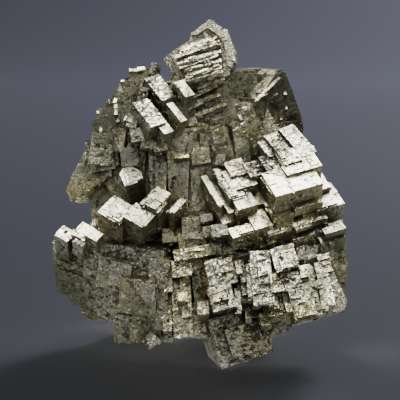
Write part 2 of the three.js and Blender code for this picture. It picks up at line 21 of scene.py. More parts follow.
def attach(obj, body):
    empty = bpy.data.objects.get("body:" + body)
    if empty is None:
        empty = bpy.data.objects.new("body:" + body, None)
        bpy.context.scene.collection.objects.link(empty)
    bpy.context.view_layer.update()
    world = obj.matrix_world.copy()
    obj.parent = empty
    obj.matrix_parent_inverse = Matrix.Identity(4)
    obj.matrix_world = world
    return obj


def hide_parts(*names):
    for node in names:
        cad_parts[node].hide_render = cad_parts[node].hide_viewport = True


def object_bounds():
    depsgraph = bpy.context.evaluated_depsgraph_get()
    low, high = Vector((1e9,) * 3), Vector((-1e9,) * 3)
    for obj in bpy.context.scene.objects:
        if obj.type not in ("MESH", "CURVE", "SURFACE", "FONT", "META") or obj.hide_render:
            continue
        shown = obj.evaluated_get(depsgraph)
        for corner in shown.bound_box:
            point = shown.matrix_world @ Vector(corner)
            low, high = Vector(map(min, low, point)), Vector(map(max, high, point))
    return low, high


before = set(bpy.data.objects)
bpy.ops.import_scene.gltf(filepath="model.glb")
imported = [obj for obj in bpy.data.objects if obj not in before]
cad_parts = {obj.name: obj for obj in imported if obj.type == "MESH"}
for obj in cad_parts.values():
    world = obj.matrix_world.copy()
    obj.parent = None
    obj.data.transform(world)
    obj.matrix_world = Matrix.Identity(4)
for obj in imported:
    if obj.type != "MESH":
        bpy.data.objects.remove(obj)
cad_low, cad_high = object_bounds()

MM = 0.001
HOST = "marcasite_cluster"
VIEW_TILT = math.radians(10.0)
CENTRE_LINE = 0.040
LEVEL = 3.401
VIEWER_DISTANCE = 200.0
BRIGHT_LEAN = 42.0
HALF_BRIGHT_LEAN = 30.0
BETWEEN_LEAN = 14.0
FULL_LEDGES_LEAN = 22.0
CHIP_ROUGHNESS = 0.3
HABITS_END = 12.0
TINTS_END = 19.0
STEEP = 0.35
LEAST_DEPTH = 0.1
TINY = 1e-9
PATTERN_SCALE = 10.0

log = logging.getLogger("marcasite")

Array = np.ndarray
Colour = tuple[float, float, float, float]
Socket = bpy.types.NodeSocket


# Front view directions


RIGHT = np.array([1.0, 0.0, 0.0])
UP = np.array([0.0, math.sin(VIEW_TILT), math.cos(VIEW_TILT)])
AWAY = np.array([0.0, math.cos(VIEW_TILT), -math.sin(VIEW_TILT)])


def seen_at(points: Array) -> Array:
    """Gives where points show in the front view.

    Formula: across is x less the centre line, and up is the distance along the view's upward
    direction plus the level that the front view counts from.

    Args:
        points: Places on the specimen in mm, one row each.

    Returns:
        Across and up in mm, one row each.
    """
    across = points @ RIGHT - CENTRE_LINE
    up = points @ UP + LEVEL
    return np.stack([across, up], axis=1)


def from_viewer(shown: Array) -> Array:
    """Gives the points well before the specimen that show at places in the front view, in mm."""
    across = (shown[:, :1] + CENTRE_LINE) * RIGHT
    return across + (shown[:, 1:2] - LEVEL) * UP - VIEWER_DISTANCE * AWAY


def seen_surface(tree: BVHTree, shown: Array) -> tuple[Array, Array, Array]:
    """Finds where the viewer's lines of sight meet a surface.

    Args:
        tree: The surface's triangles.
        shown: Places in the front view, one row each.

    Returns:
        Which places meet it, and for those the points in mm and the triangles' numbers.
    """
    hits = [tree.ray_cast(start, AWAY.tolist()) for start in from_viewer(shown).tolist()]
    met = np.array([hit[0] is not None for hit in hits])
    points = np.array([list(hit[0]) for hit in hits if hit[0] is not None])
    return met, points, np.array([hit[2] for hit in hits if hit[0] is not None])


def inside(outline: list[tuple[float, float]], places: Array) -> Array:
    """Tells which places lie inside a closed outline.

    Formula: a place is inside when a ray to its right crosses the outline an odd number of times.

    Args:
        outline: Corners of the outline, across and up in mm.
        places: Places in the front view, one row each.

    Returns:
        True or False for each place.
    """
    corners = np.array(outline)
    following = np.roll(corners, -1, axis=0)
    x, y = places[:, :1], places[:, 1:]
    rise = following[:, 1] - corners[:, 1]
    rise = np.where(np.abs(rise) < TINY, TINY, rise)
    crosses = (corners[:, 1] > y) != (following[:, 1] > y)
    at = corners[:, 0] + (y - corners[:, 1]) * (following[:, 0] - corners[:, 0]) / rise
    return ((crosses & (x < at)).sum(axis=1) % 2) == 1


def unit(vectors: Array) -> Array:
    """Gives the vectors at length one."""
    return vectors / np.maximum(np.linalg.norm(vectors, axis=-1, keepdims=True), TINY * MM)


def in_face(shown: Array, normal: Array) -> Array:
    """Gives the directions in faces that show as given directions in the front view.

    Formula: each direction slides along the line of sight until it lies in its face.

    Args:
        shown: Directions across the front view, one row each.
        normal: The faces' normals.

    Returns:
        The directions, with the lengths that they get by sliding.
    """
    depth = normal @ AWAY
    depth = np.where(np.abs(depth) < LEAST_DEPTH, LEAST_DEPTH, depth)
    return shown - ((shown * normal).sum(1) / depth)[:, None] * AWAY


def at_angle(degrees: Array) -> Array:
    """Gives the directions at angles in the front view, counted from its right."""
    angle = np.radians(degrees)
    return np.cos(angle)[:, None] * RIGHT + np.sin(angle)[:, None] * UP


def leaned_axes(roll: Array, lean: Array) -> Array:
    """Gives the axes of boxes whose tops face the viewer.

    Args:
        roll: How far each is turned in the front view, in degrees.
        lean: How far its top is leaned back, in degrees.

    Returns:
        Axes as rows: long, short, outwards.
    """
    lean = np.radians(lean)
    outward = np.sin(lean)[:, None] * UP - np.cos(lean)[:, None] * AWAY
    along = unit(in_face(at_angle(roll), outward))
    return np.stack([along, np.cross(outward, along), outward], axis=1)


# Ways that the surface grew


class Habit(Enum):
    """How a stretch of the surface grew."""

    PLATES = "plates"
    BEDS = "beds"
    FLAKES = "flakes"
    TERRACES = "terraces"
    RIBS = "ribs"
    STREAKS = "streaks"
    RUBBLE = "rubble"


@dataclass(frozen=True)
class HabitStyle:
    """Sizes of the small crystals of one habit, in mm and degrees."""

    per_mm2: float
    long: tuple[float, float]
    ratio: tuple[float, float]
    rise: tuple[float, float]
    tilt: float
    lens: float = 0.0
    cracks_per_mm2: float = 0.0
    pits_per_mm2: float = 0.0
    roughness: float = 0.5


STYLES = {
    Habit.PLATES: HabitStyle(0.08, (1.5, 6.5), (0.35, 0.9), (0.06, 0.3), 1.2, 0.0, 0.025, 0.01, 0.14),
    Habit.BEDS: HabitStyle(0.12, (2.0, 7.0), (0.08, 0.25), (0.06, 0.3), 2.0, 0.0, 0.01, 0.01, 0.3),
    Habit.FLAKES: HabitStyle(0.36, (0.7, 2.4), (0.25, 0.6), (0.06, 0.25), 9.0, 0.25, 0.03, 0.02, 0.7),
    Habit.TERRACES: HabitStyle(0.26, (1.0, 4.2), (0.2, 0.6), (0.06, 0.28), 6.0, 0.15, 0.03, 0.01, 0.46),
    Habit.RIBS: HabitStyle(0.90, (1.2, 4.6), (0.16, 0.3), (0.15, 0.45), 6.0, 0.5, 0.0, 0.0, 0.22),
    Habit.STREAKS: HabitStyle(0.34, (1.4, 4.5), (0.12, 0.3), (0.1, 0.35), 6.0, 0.6, 0.01, 0.01, 0.45),
    Habit.RUBBLE: HabitStyle(0.20, (0.8, 3.6), (0.3, 1.0), (0.1, 0.5), 6.0, 0.15, 0.01, 0.01, 0.32),
}


def by_habit(name: str) -> Array:
    """Lists one field of the styles in the order of the habits."""
    return np.array([getattr(STYLES[habit], name) for habit in Habit])


@dataclass(frozen=True)
class Stretch:
    """A stretch of the front that has one habit, by its outline in the front view in mm.

    The heading is the angle at which its crystals show, and the lean is how far they are tipped
    upwards, so that they catch the light from above. Both are in degrees.
    """

    habit: Habit
    outline: list[tuple[float, float]]
    heading: float | None = None
    lean: float = 0.0


FRONT_STRETCHES = [
    Stretch(
        Habit.RIBS,
        [(-7, 78), (-2, 80), (6.5, 81.5), (8, 76), (5.5, 71), (-1.5, 69.5), (-5, 74.5)],
        13.0,
    ),
    Stretch(Habit.STREAKS, [(-3, 70), (7.5, 70), (15, 64), (12, 56), (0, 56), (-6, 62)], 20.0),
    Stretch(
        Habit.STREAKS,
        [(-27, 58), (-19, 61), (-19, 50), (-24, 45), (-33, 42), (-35, 46), (-29, 54)],
        78.0,
    ),
    Stretch(
        Habit.FLAKES,
        [(-37.5, 32), (-24, 31), (-8, 29.5), (-7, 6), (-13, 3), (-21, 4), (-34, 18)],
        -28.0,
    ),
    Stretch(Habit.TERRACES, [(-7, 31), (0.5, 31), (0.5, 8), (-7, 8)], 8.0, 18.0),
    Stretch(Habit.TERRACES, [(0.5, 27), (8, 27), (7.5, 13), (1, 12)], 20.0, 20.0),
    Stretch(Habit.TERRACES, [(8, 31), (30, 31), (33, 20), (29, 12), (8, 13)], 12.0, 20.0),
    Stretch(Habit.TERRACES, [(2, 12), (18, 13), (18, 2), (8, -1), (4, 0)], 16.0, 30.0),
    Stretch(Habit.BEDS, [(17, 41), (30, 41), (30, 32), (17, 32)], 14.0),
    Stretch(
        Habit.RUBBLE,
        [(-19, 75), (-10, 76), (-9.5, 71), (-15, 66), (-18, 59), (-21, 54), (-27, 54), (-28, 59)],
    ),
    Stretch(
        Habit.RUBBLE,
        [(8, 74), (19, 74), (24, 71), (26, 64), (27, 58), (21, 60), (17, 64), (8, 66)],
    ),
    Stretch(
        Habit.STREAKS,
        [(15.5, 52.5), (18.8, 58.5), (22, 58), (21, 53.5), (16, 47.5), (11.5, 49)],
        130.0,
    ),
    Stretch(Habit.FLAKES, [(8, 50), (15.5, 52.5), (16, 47), (10, 46)], 16.0),
]


@dataclass(frozen=True)
class Tint:
    """A stretch of the front with a colour of its own, painted shade, or a speckle of pits and painted
    dark flecks, outlined in mm.
    """

    outline: list[tuple[float, float]]
    gilt: float = 0.0
    tarnish: float = 0.0
    rust: float = 0.0
    # painted shade: how far the stretch's colour is darkened, standing in for shade
    shade: float = 0.0
    # speckle: more and darker pits and comb marks, the marks painted as very dark flecks of shade
    speckle: float = 0.0
    walls_only: bool = False


# Gilt, tarnish and rust are the mineral's own colours; shade is painted shade, and speckle adds pits and
# paints dark flecks of shade.
FRONT_TINTS = [
    Tint([(-3, 70), (7.5, 70), (20, 66), (15, 56), (0, 56), (-6, 62)], 0.15, 0.35),
    Tint(
        [(-19, 76), (-10, 76), (-9.5, 71), (-15, 66), (-18, 59), (-21, 54), (-29, 54), (-30, 60)],
        0.15,
        1.0,
        shade=0.25,
    ),
    Tint([(20, 74), (25, 72), (27, 64), (28, 57), (21, 60), (17, 64), (15, 66)], 0.0, 1.0, shade=0.5),
    Tint([(8, 75), (19.4, 75), (18.4, 72), (13.4, 66), (8, 66)], 0.25, 1.0, shade=0.45),
    Tint([(18.6, 73.4), (20.4, 73.4), (15.2, 65.4), (13.4, 66.2)], 0.6),
    Tint([(-9, 31), (3, 31), (1, 8), (-9, 8)], 0.5, 0.1),
    Tint([(16, 15.5), (29, 17), (29, 12), (16, 11)], 0.9),
    Tint([(10, 11), (18.5, 12), (18.5, 3), (10, 3)], 0.6),
    Tint([(10.8, 14.4), (12.8, 14.4), (12.8, 12.4), (10.8, 12.4)], 0.9),
    Tint([(32.5, 34), (38, 34), (38, 18), (33, 18)], 0.7, 0.4),
    Tint([(12.5, 45), (17.5, 43), (17, 36), (13, 38)], 0.7, 0.2),
    Tint([(-35, 45), (-24, 49), (-23, 45.5), (-33, 41)], 0.8),
    Tint([(-7, 53), (-2, 53), (-2, 51), (-7, 51)], 1.0),
    Tint([(-27, 45), (-6, 45), (-6, 31), (-27, 31)], 0.6, 0.2, walls_only=True),
    Tint([(-14, 58), (8, 60), (8, 44), (-14, 42)], 0.1, 0.3, shade=0.16),
    Tint([(-34, 45), (-28, 56), (-21, 56), (-21, 47), (-28, 45)], speckle=0.2),
    Tint([(13, 59), (24, 63), (31, 54), (25, 50), (13, 50)], speckle=0.6),
    Tint([(1, 31), (36, 31), (36, 12), (1, 12)], shade=0.06),
    Tint([(2, 50), (12, 50), (14, 40), (4, 38)], speckle=0.3),
    Tint([(2, 42), (36, 60), (36, 30), (2, 30)], 0.35, 0.15, walls_only=True),
    Tint([(-26, 46), (-13, 46), (-13, 39.5), (-26, 39.5)], 0.2, 0.7),
    Tint([(-38, 28), (-33.5, 28), (-27, 14), (-12, 5), (-14, 2), (-38, 10)], 0.3, 0.45),
    Tint([(11.5, 49), (16, 52.5), (19, 58.5), (23.5, 55), (22, 51), (17, 46)], tarnish=0.2, speckle=0.85),
    Tint([(-26, 39), (-16, 44), (-8, 42), (-2, 44), (-2, 36), (-12, 31), (-18, 33)], speckle=0.3),
    Tint([(-14, 71), (-10, 74.5), (-6, 68), (-9, 65.5)], speckle=0.85),
    Tint([(-17, 66), (-13, 69), (-8, 62), (-12, 58.5)], speckle=0.85),
    Tint([(-37, 33), (-9, 31), (-9, 4), (-37, 10)], shade=0.08),
    Tint([(-18.5, 51), (-13.5, 51), (-13.5, 44), (-17.5, 44)], tarnish=0.5, speckle=0.5),
    Tint([(-34.3, 20.6), (-33.4, 20.6), (-33.4, 19.2), (-34.3, 19.2)], rust=0.6),
    Tint([(-26.2, 13.6), (-25, 13.6), (-25, 12.6), (-26.2, 12.6)], rust=0.6),
    Tint([(0.6, 21.4), (1.8, 21.4), (1.8, 19.4), (0.6, 19.4)], rust=0.7),
    Tint([(2.4, 69), (4, 69), (4, 67), (2.4, 67)], rust=0.7),
]


@dataclass(frozen=True)
class Chip:
    """A single bright facet at its own place in the front view, in mm and degrees."""

    across: float
    up: float
    wide: float
    high: float
    roll: float = 0.0
    lean: float = BRIGHT_LEAN


CHIPS = [
    Chip(-16.6, 73.6, 2.0, 0.7, -4),
    Chip(-14.7, 73.9, 1.9, 0.9, 6),
    Chip(-13.2, 74.6, 1.3, 0.8, 22),
    Chip(-21.0, 65.9, 0.8, 1.3, -10),
    Chip(-20.8, 64.4, 0.9, 0.9, 8, HALF_BRIGHT_LEAN),
    Chip(-20.7, 62.9, 0.8, 1.3, -4, HALF_BRIGHT_LEAN),
    Chip(-20.4, 61.0, 0.9, 1.0, 14),
    Chip(-18.3, 61.4, 0.5, 1.1, -8),
    Chip(-23.5, 66.0, 0.9, 0.7, 12),
    Chip(-25.2, 63.0, 0.7, 0.6, 0, HALF_BRIGHT_LEAN),
    Chip(-24.5, 58.75, 0.5, 1.2, -6, HALF_BRIGHT_LEAN),
    Chip(-19.3, 70.9, 0.8, 0.5, 16),
    Chip(-18.1, 54.25, 2.3, 0.7, 12),
    Chip(10.0, 61.9, 0.7, 1.7, 15, HALF_BRIGHT_LEAN),
    Chip(10.3, 60.4, 0.6, 1.2, 5),
    Chip(-4.5, 52.1, 3.4, 1.0, 2, HALF_BRIGHT_LEAN),
    Chip(21.25, 68.0, 0.7, 0.9, 20, HALF_BRIGHT_LEAN),
    Chip(21.5, 64.25, 0.8, 0.7, -15, HALF_BRIGHT_LEAN),
    Chip(20.25, 61.75, 0.6, 0.8, 10, HALF_BRIGHT_LEAN),
    Chip(32.5, 34.25, 5.2, 1.4, 16),
    Chip(32.1, 30.9, 1.4, 0.8, 14),
    Chip(-4.5, 17.75, 2.0, 2.0, 0, HALF_BRIGHT_LEAN),
    Chip(0.75, 15.0, 2.9, 2.9, 2, HALF_BRIGHT_LEAN),
    Chip(11.75, 13.4, 1.5, 1.6),
    Chip(9.4, 25.0, 1.4, 3.0, 8, HALF_BRIGHT_LEAN),
    Chip(-13.1, 4.25, 1.0, 1.2),
]


@dataclass(frozen=True)
class Between:
    """A crystal that grew in a gap between bigger ones, in mm and degrees in the front view."""

    across: float
    up: float
    wide: float
    high: float
    roll: float
    sunk: float


BETWEEN = [
    Between(18.1, 21.4, 2.6, 4.6, 12, 0.5),
    Between(17.6, 16.9, 2.4, 4.0, 8, 0.9),
    Between(26.3, 23.6, 4.4, 2.6, 14, 0.6),
    Between(26.0, 20.6, 4.0, 3.4, 10, 1.0),
    Between(10.2, 18.6, 2.2, 4.8, 6, 1.2),
    Between(10.6, 23.4, 2.0, 4.0, 10, 1.6),
    Between(22.4, 15.6, 3.6, 2.0, 12, 0.9),
    Between(21.9, 26.9, 3.2, 2.4, 16, 0.8),
    Between(30.2, 26.0, 3.0, 4.4, 12, 0.8),
    Between(-16.6, 60.6, 2.6, 3.4, -12, 2.0),
    Between(-15.4, 57.2, 3.2, 3.4, 8, 2.0),
    Between(-12.9, 55.4, 3.0, 3.0, -8, 1.4),
    Between(-9.8, 54.6, 3.4, 2.8, 12, 1.8),
    Between(-18.0, 57.2, 2.4, 3.2, 14, 3.0),
    Between(-14.0, 67.2, 2.2, 3.6, -10, 1.6),
    Between(-7.7, 22.6, 1.9, 7.4, 0, 1.1),
    Between(-7.9, 13.6, 2.2, 8.6, 0, 0.9),
    Between(12.2, 21.4, 1.6, 9.0, 3, 0.9),
    Between(9.2, 16.8, 1.5, 6.0, 3, 0.8),
    Between(22.0, 21.7, 4.8, 4.4, 8, 0.7),
    Between(29.8, 17.8, 1.7, 6.4, 6, 0.8),
    Between(15.8, 12.6, 2.6, 3.2, 10, 0.8),
    Between(-7.0, 32.6, 4.6, 3.4, 4, 2.0),
    Between(-1.2, 33.2, 4.2, 2.8, -6, 2.0),
    Between(4.8, 34.0, 3.8, 2.8, 8, 1.6),
    Between(-20.8, 52.0, 1.6, 4.2, 4, 1.6),
]

CRACKS = [
    (20.2, 46.9, 21.4, 45.5),
    (21.3, 45.6, 22.7, 43.2),
    (22.6, 43.3, 22.9, 41.4),
    (21.3, 47.2, 24.4, 47.9),
    (24.2, 47.9, 27.0, 48.8),
    (-13.2, 35.9, -11.7, 37.3),
    (-22.4, 38.0, -19.8, 36.6),
    (1.4, 22.2, 3.8, 22.9),
    (3.6, 22.8, 6.0, 24.4),
    (1.9, 17.9, 5.6, 19.3),
    (13.2, 26.0, 16.2, 26.9),
    (12.9, 22.2, 16.4, 23.1),
    (13.0, 18.2, 16.0, 18.9),
    (22.4, 19.8, 25.4, 20.6),
    (22.0, 17.2, 25.2, 18.2),
    (19.0, 28.2, 22.4, 29.0),
]


# The cluster's own faces


@dataclass
class HostFaces:
    """The flat faces of the cluster's main crystals, read from its mesh.

    Everything is in mm. A face is a run of joined triangles in one plane. Each has an axis along
    its crystal's edges, so that whatever grows on it lines up with that crystal.
    """

    mesh: bpy.types.Mesh
    flat_cosine: float = 0.9998
    points: Array = field(init=False)
    triangles: Array = field(init=False)
    normals: Array = field(init=False)
    areas: Array = field(init=False)
    face_of: Array = field(init=False)
    axes: Array = field(init=False)

    def __post_init__(self) -> None:
        """Reads the solid and finds its flat faces and their axes."""
        work = bmesh.new()
        work.from_mesh(self.mesh)
        bmesh.ops.remove_doubles(work, verts=work.verts, dist=MM * MM)
        bmesh.ops.triangulate(work, faces=work.faces)
        work.verts.ensure_lookup_table()
        self.points = np.array([v.co for v in work.verts]) / MM
        self.triangles = np.array([[v.index for v in f.verts] for f in work.faces])
        work.free()
        corners = self.points[self.triangles]
        cross = np.cross(corners[:, 1] - corners[:, 0], corners[:, 2] - corners[:, 0])
        self.areas = np.linalg.norm(cross, axis=1) / 2
        self.normals = unit(cross)
        self.find_faces()
        self.find_axes()

    def edges(self) -> tuple[Array, Array, Array]:
        """Pairs the two triangles of each edge.

        Returns:
            First triangle, second triangle, and the edge's vector in mm, one row for each edge.
        """
        t = self.triangles
        ends = np.concatenate([t[:, [0, 1]], t[:, [1, 2]], t[:, [2, 0]]])
        owner = np.tile(np.arange(len(t)), 3)
        key = np.sort(ends, axis=1)
        order = np.lexsort((key[:, 1], key[:, 0]))
        key, owner = key[order], owner[order]
        same = np.all(key[:-1] == key[1:], axis=1)
        first, second = owner[:-1][same], owner[1:][same]
        vector = self.points[key[:-1][same][:, 1]] - self.points[key[:-1][same][:, 0]]
        return first, second, vector

    def find_faces(self) -> None:
        """Gives each triangle the number of its flat face.

        Formula: neighbours in one plane take the lower of their two numbers until none changes.
        """
        first, second, _ = self.edges()
        flat = np.einsum("ij,ij->i", self.normals[first], self.normals[second]) > self.flat_cosine
        first, second = first[flat], second[flat]
        number = np.arange(len(self.triangles))
        changed = True
        while changed:
            before = number.copy()
            lower = np.minimum(number[first], number[second])
            np.minimum.at(number, first, lower)
            np.minimum.at(number, second, lower)
            changed = not np.array_equal(before, number)
        _, self.face_of = np.unique(number, return_inverse=True)

    def find_axes(self) -> None:
        """Gives each triangle its crystal's axes: along, sideways and outwards.

        Formula: the border edges of a face vote, by length, for a direction with the symmetry of
        a square, which is the angle of the sum of length times e to the power i four angle.
        """
        first, second, vector = self.edges()
        count = self.face_of.max() + 1
        sums = np.zeros((count, 3))
        np.add.at(sums, self.face_of, self.normals * self.areas[:, None])
        outward = unit(sums)
        helper = np.where(np.abs(outward[:, 2:]) < 0.9, [[0.0, 0.0, 1.0]], [[0.0, 1.0, 0.0]])
        start = unit(np.cross(helper, outward))
        side = np.cross(outward, start)
        vote = np.zeros(count, complex)
        border = self.face_of[first] != self.face_of[second]
        for owner in (first[border], second[border]):
            face = self.face_of[owner]
            a = np.einsum("ij,ij->i", vector[border], start[face])
            b = np.einsum("ij,ij->i", vector[border], side[face])
            z = a + 1j * b
            size = np.abs(z)
            np.add.at(vote, face, size * (z / np.maximum(size, TINY)) ** 4 * size)
        angle = np.angle(vote) / 4
        along = np.cos(angle)[:, None] * start + np.sin(angle)[:, None] * side
        frames = np.stack([along, np.cross(outward, along), outward], axis=1)
        self.axes = frames[self.face_of]

    def scatter(self, count: int, weight: Array, rng: np.random.Generator) -> tuple[Array, Array]:
        """Puts random places on the faces.

        Formula: a triangle is drawn by its weight, and a place in it by two random shares.

        Args:
            count: How many places.
            weight: Each triangle's weight.
            rng: Source of the random numbers.

        Returns:
            The places in mm and the triangle that each lies on.
        """
        total = np.cumsum(weight)
        chosen = np.searchsorted(total, rng.random(count) * total[-1])
        chosen = np.minimum(chosen, len(weight) - 1)
        a, b = rng.random(count), rng.random(count)
        over = a + b > 1
        a[over], b[over] = 1 - a[over], 1 - b[over]
        c = self.points[self.triangles[chosen]]
        return c[:, 0] + a[:, None] * (c[:, 1] - c[:, 0]) + b[:, None] * (c[:, 2] - c[:, 0]), chosen


# Closed little solids


BOX_CORNERS = np.array([[x, y, z] for z in (-1, 1) for y in (-1, 1) for x in (-1, 1)], float)
BOX_TRIANGLES = np.array(
    [[0, 2, 1], [1, 2, 3], [4, 5, 6], [5, 7, 6], [0, 1, 4], [1, 5, 4]]
    + [[2, 6, 3], [3, 6, 7], [0, 4, 2], [2, 4, 6], [1, 3, 5], [3, 7, 5]]
)
LENS_CORNERS = np.array([[1, 0, 0], [-1, 0, 0], [0, 1, 0], [0, -1, 0], [0, 0, 1], [0, 0, -1]], float)
LENS_TRIANGLES = np.array(
    [[0, 2, 4], [2, 1, 4], [1, 3, 4], [3, 0, 4], [2, 0, 5], [1, 2, 5], [3, 1, 5], [0, 3, 5]]
)


@dataclass
class Grains:
    """Many small closed solids of one shape, each with its place, half sizes and axes."""

    corners: Array
    triangles: Array
    centres: Array
    halves: Array
    axes: Array
    clearance: float = 1.02

    def points(self) -> Array:
        """Works out every corner.

        Formula: centre plus each corner's signs times the half sizes along the solid's own axes.

        Returns:
            Corners in mm, as solid, corner, coordinate.
        """
        local = self.corners[None] * self.halves[:, None, :]
        return self.centres[:, None, :] + np.einsum("nci,nij->ncj", local, self.axes)

    def mesh_arrays(self, chosen: Array, low: Array, high: Array) -> tuple[Array, Array]:
        """Gives the corners and triangles of the chosen solids, kept inside the specimen's box.

        Args:
            chosen: Numbers of the solids.
            low: Lowest corner of the box in mm.
            high: Highest corner of the box in mm.

        Returns:
            Points, one row each, and triangles by point number.
        """
        points = np.clip(self.points()[chosen], low, high)
        step = len(self.corners)
        starts = np.arange(len(chosen))[:, None, None] * step
        return points.reshape(-1, 3), (self.triangles[None] + starts).reshape(-1, 3)

    def batches(self) -> list[Array]:
        """Sorts the solids into batches in which none can touch another.

        Returns:
            One array of solid numbers for each batch.
        """
        reach = np.linalg.norm(self.halves, axis=1) * self.clearance
        tree = KDTree(len(self.centres))
        for number, centre in enumerate(self.centres):
            tree.insert(centre, number)
        tree.balance()
        widest = float(reach.max())
        batch = np.full(len(self.centres), -1)
        for number in np.argsort(-reach):
            near = tree.find_range(self.centres[number], float(reach[number]) + widest)
            taken = {
                int(batch[other])
                for _, other, gap in near
                if batch[other] >= 0 and gap < reach[number] + reach[other]
            }
            pick = 0
            while pick in taken:
                pick += 1
            batch[number] = pick
        return [np.flatnonzero(batch == pick) for pick in range(batch.max() + 1)]

    def work_into(self, body: bpy.types.Object, operation: str, low: Array, high: Array) -> None:
        """Joins all the solids to a body, or cuts them from it.

        Args:
            body: The closed body.
            operation: UNION or DIFFERENCE.
            low: Lowest corner of the specimen's box in mm.
            high: Highest corner of the specimen's box in mm.
        """
        for batch in self.batches():
            combine(body, mesh_object("tool", *self.mesh_arrays(batch, low, high)), operation)
        faces = len(body.data.polygons)
        log.info("%s: %d small solids, faces now %d", operation, len(self.centres), faces)


def boxes(centres: Array, halves: Array, axes: Array) -> Grains:
    """Makes boxes from their centres, half sizes and axes."""
    return Grains(BOX_CORNERS, BOX_TRIANGLES, centres, halves, axes)


def corner_numbers(mesh: bpy.types.Mesh) -> Array:
    """Reads the three point numbers of each triangle of a mesh."""
    numbers = np.empty(len(mesh.loops), np.int32)
    mesh.loops.foreach_get("vertex_index", numbers)
    return numbers.reshape(-1, 3)


def mesh_object(name: str, points: Array, triangles: Array) -> bpy.types.Object:
    """Makes an object from arrays.

    Args:
        name: The object's name.
        points: Points in mm.
        triangles: Triangles by point number.

    Returns:
        The object, linked to the scene.
    """
    mesh = bpy.data.meshes.new(name)
    mesh.vertices.add(len(points))
    mesh.vertices.foreach_set("co", (points * MM).astype(np.float32).ravel())
    mesh.loops.add(len(triangles) * 3)
    mesh.loops.foreach_set("vertex_index", triangles.astype(np.int32).ravel())
    mesh.polygons.add(len(triangles))
    mesh.polygons.foreach_set("loop_start", np.arange(0, len(triangles) * 3, 3, dtype=np.int32))
    mesh.update(calc_edges=True)
    made = bpy.data.objects.new(name, mesh)
    bpy.context.scene.collection.objects.link(made)
    return made


def combine(body: bpy.types.Object, tool: bpy.types.Object, operation: str) -> None:
    """Joins a tool's solids to a body, or cuts them from it, and removes the tool.

    Args:
        body: The closed body.
        tool: Closed solids that don't touch each other.
        operation: UNION or DIFFERENCE.
    """
    modifier = body.modifiers.new("grow", "BOOLEAN")
    modifier.object = tool
    modifier.operation = operation
    modifier.solver = "MANIFOLD"
    graph = bpy.context.evaluated_depsgraph_get()
    mesh = bpy.data.meshes.new_from_object(body.evaluated_get(graph))
    body.modifiers.clear()
    before, body.data = body.data, mesh
    bpy.data.meshes.remove(before)
    tool_mesh = tool.data
    bpy.data.objects.remove(tool)
    bpy.data.meshes.remove(tool_mesh)


def keep_largest(mesh: bpy.types.Mesh) -> None:
    """Takes away the small solids that a cut left loose.

    Formula: each corner takes the lowest number among its triangles' corners until none changes,
    and the number that most corners share marks the largest solid.

    Args:
        mesh: A mesh of triangles.
    """
    corners = corner_numbers(mesh)
    number = np.arange(len(mesh.vertices))
    changed = True
    while changed:
        lowest = number[corners].min(axis=1)
        following = number.copy()
        np.minimum.at(following, corners.ravel(), np.repeat(lowest, 3))
        following = following[following]
        changed = bool((following != number).any())
        number = following
    kept = np.bincount(number).argmax()
    work = bmesh.new()
    work.from_mesh(mesh)
    loose = [corner for corner in work.verts if number[corner.index] != kept]
    bmesh.ops.delete(work, geom=loose, context="VERTS")
    work.to_mesh(mesh)
    work.free()


# The crust of small crystals


@dataclass
class CrystalsBetween:
    """The crystals that grew in the gaps between the cluster's bigger ones."""

    mesh: bpy.types.Mesh
    low: Array
    high: Array
    around: tuple[tuple[float, float], ...] = (
        (0, 0),
        (0.8, 0),
        (-0.8, 0),
        (0, 0.6),
        (0, -0.6),
        (0.7, 0.5),
        (-0.7, -0.5),
    )
    root: float = 0.6

    def depths(self, host: HostFaces, spots: Array) -> tuple[Array, Array]:
        """Finds how far the surface is from the viewer at each spot and around it.

        Args:
            host: The cluster's faces.
            spots: The rows of BETWEEN as numbers.

        Returns:
            The nearest and the farthest distance in mm.
        """
        tree = BVHTree.FromPolygons(host.points.tolist(), host.triangles.tolist())
        found = []
        for aside, above in self.around:
            shown = spots[:, :2] + np.array([aside, above]) * spots[:, 2:4]
            starts = from_viewer(shown).tolist()
            hits = [tree.ray_cast(start, AWAY.tolist())[3] for start in starts]
            found.append([np.nan if hit is None else hit for hit in hits])
        return np.nanmin(found, axis=0), np.nanmax(found, axis=0)

    def build(self) -> bpy.types.Object:
        """Copies the cluster and joins the crystals in its gaps to it.

        Formula: rays from the viewer meet the surface at the spot and around it, and the
        crystal's front stands a little behind the nearest of these places.

        Returns:
            The joined copy.
        """
        host = HostFaces(self.mesh)
        spots = np.array([[b.across, b.up, b.wide, b.high, b.roll, b.sunk] for b in BETWEEN])
        _, _, wide, tall, roll, sunk = spots.T
        nearest, farthest = self.depths(host, spots)
        lean = np.full(len(spots), BETWEEN_LEAN)
        axes = leaned_axes(roll, lean)
        thick = (farthest - nearest - sunk) / 2 + self.root
        tops = from_viewer(spots[:, :2]) + (nearest + sunk)[:, None] * AWAY
        halves = np.stack([wide / 2, tall / 2 / np.cos(np.radians(lean)), thick], axis=1)
        body = mesh_object("marcasite_with_small_crystals", host.points, host.triangles)
        solids = boxes(tops - axes[:, 2] * thick[:, None], halves, axes)
        solids.work_into(body, "UNION", self.low, self.high)
        return body


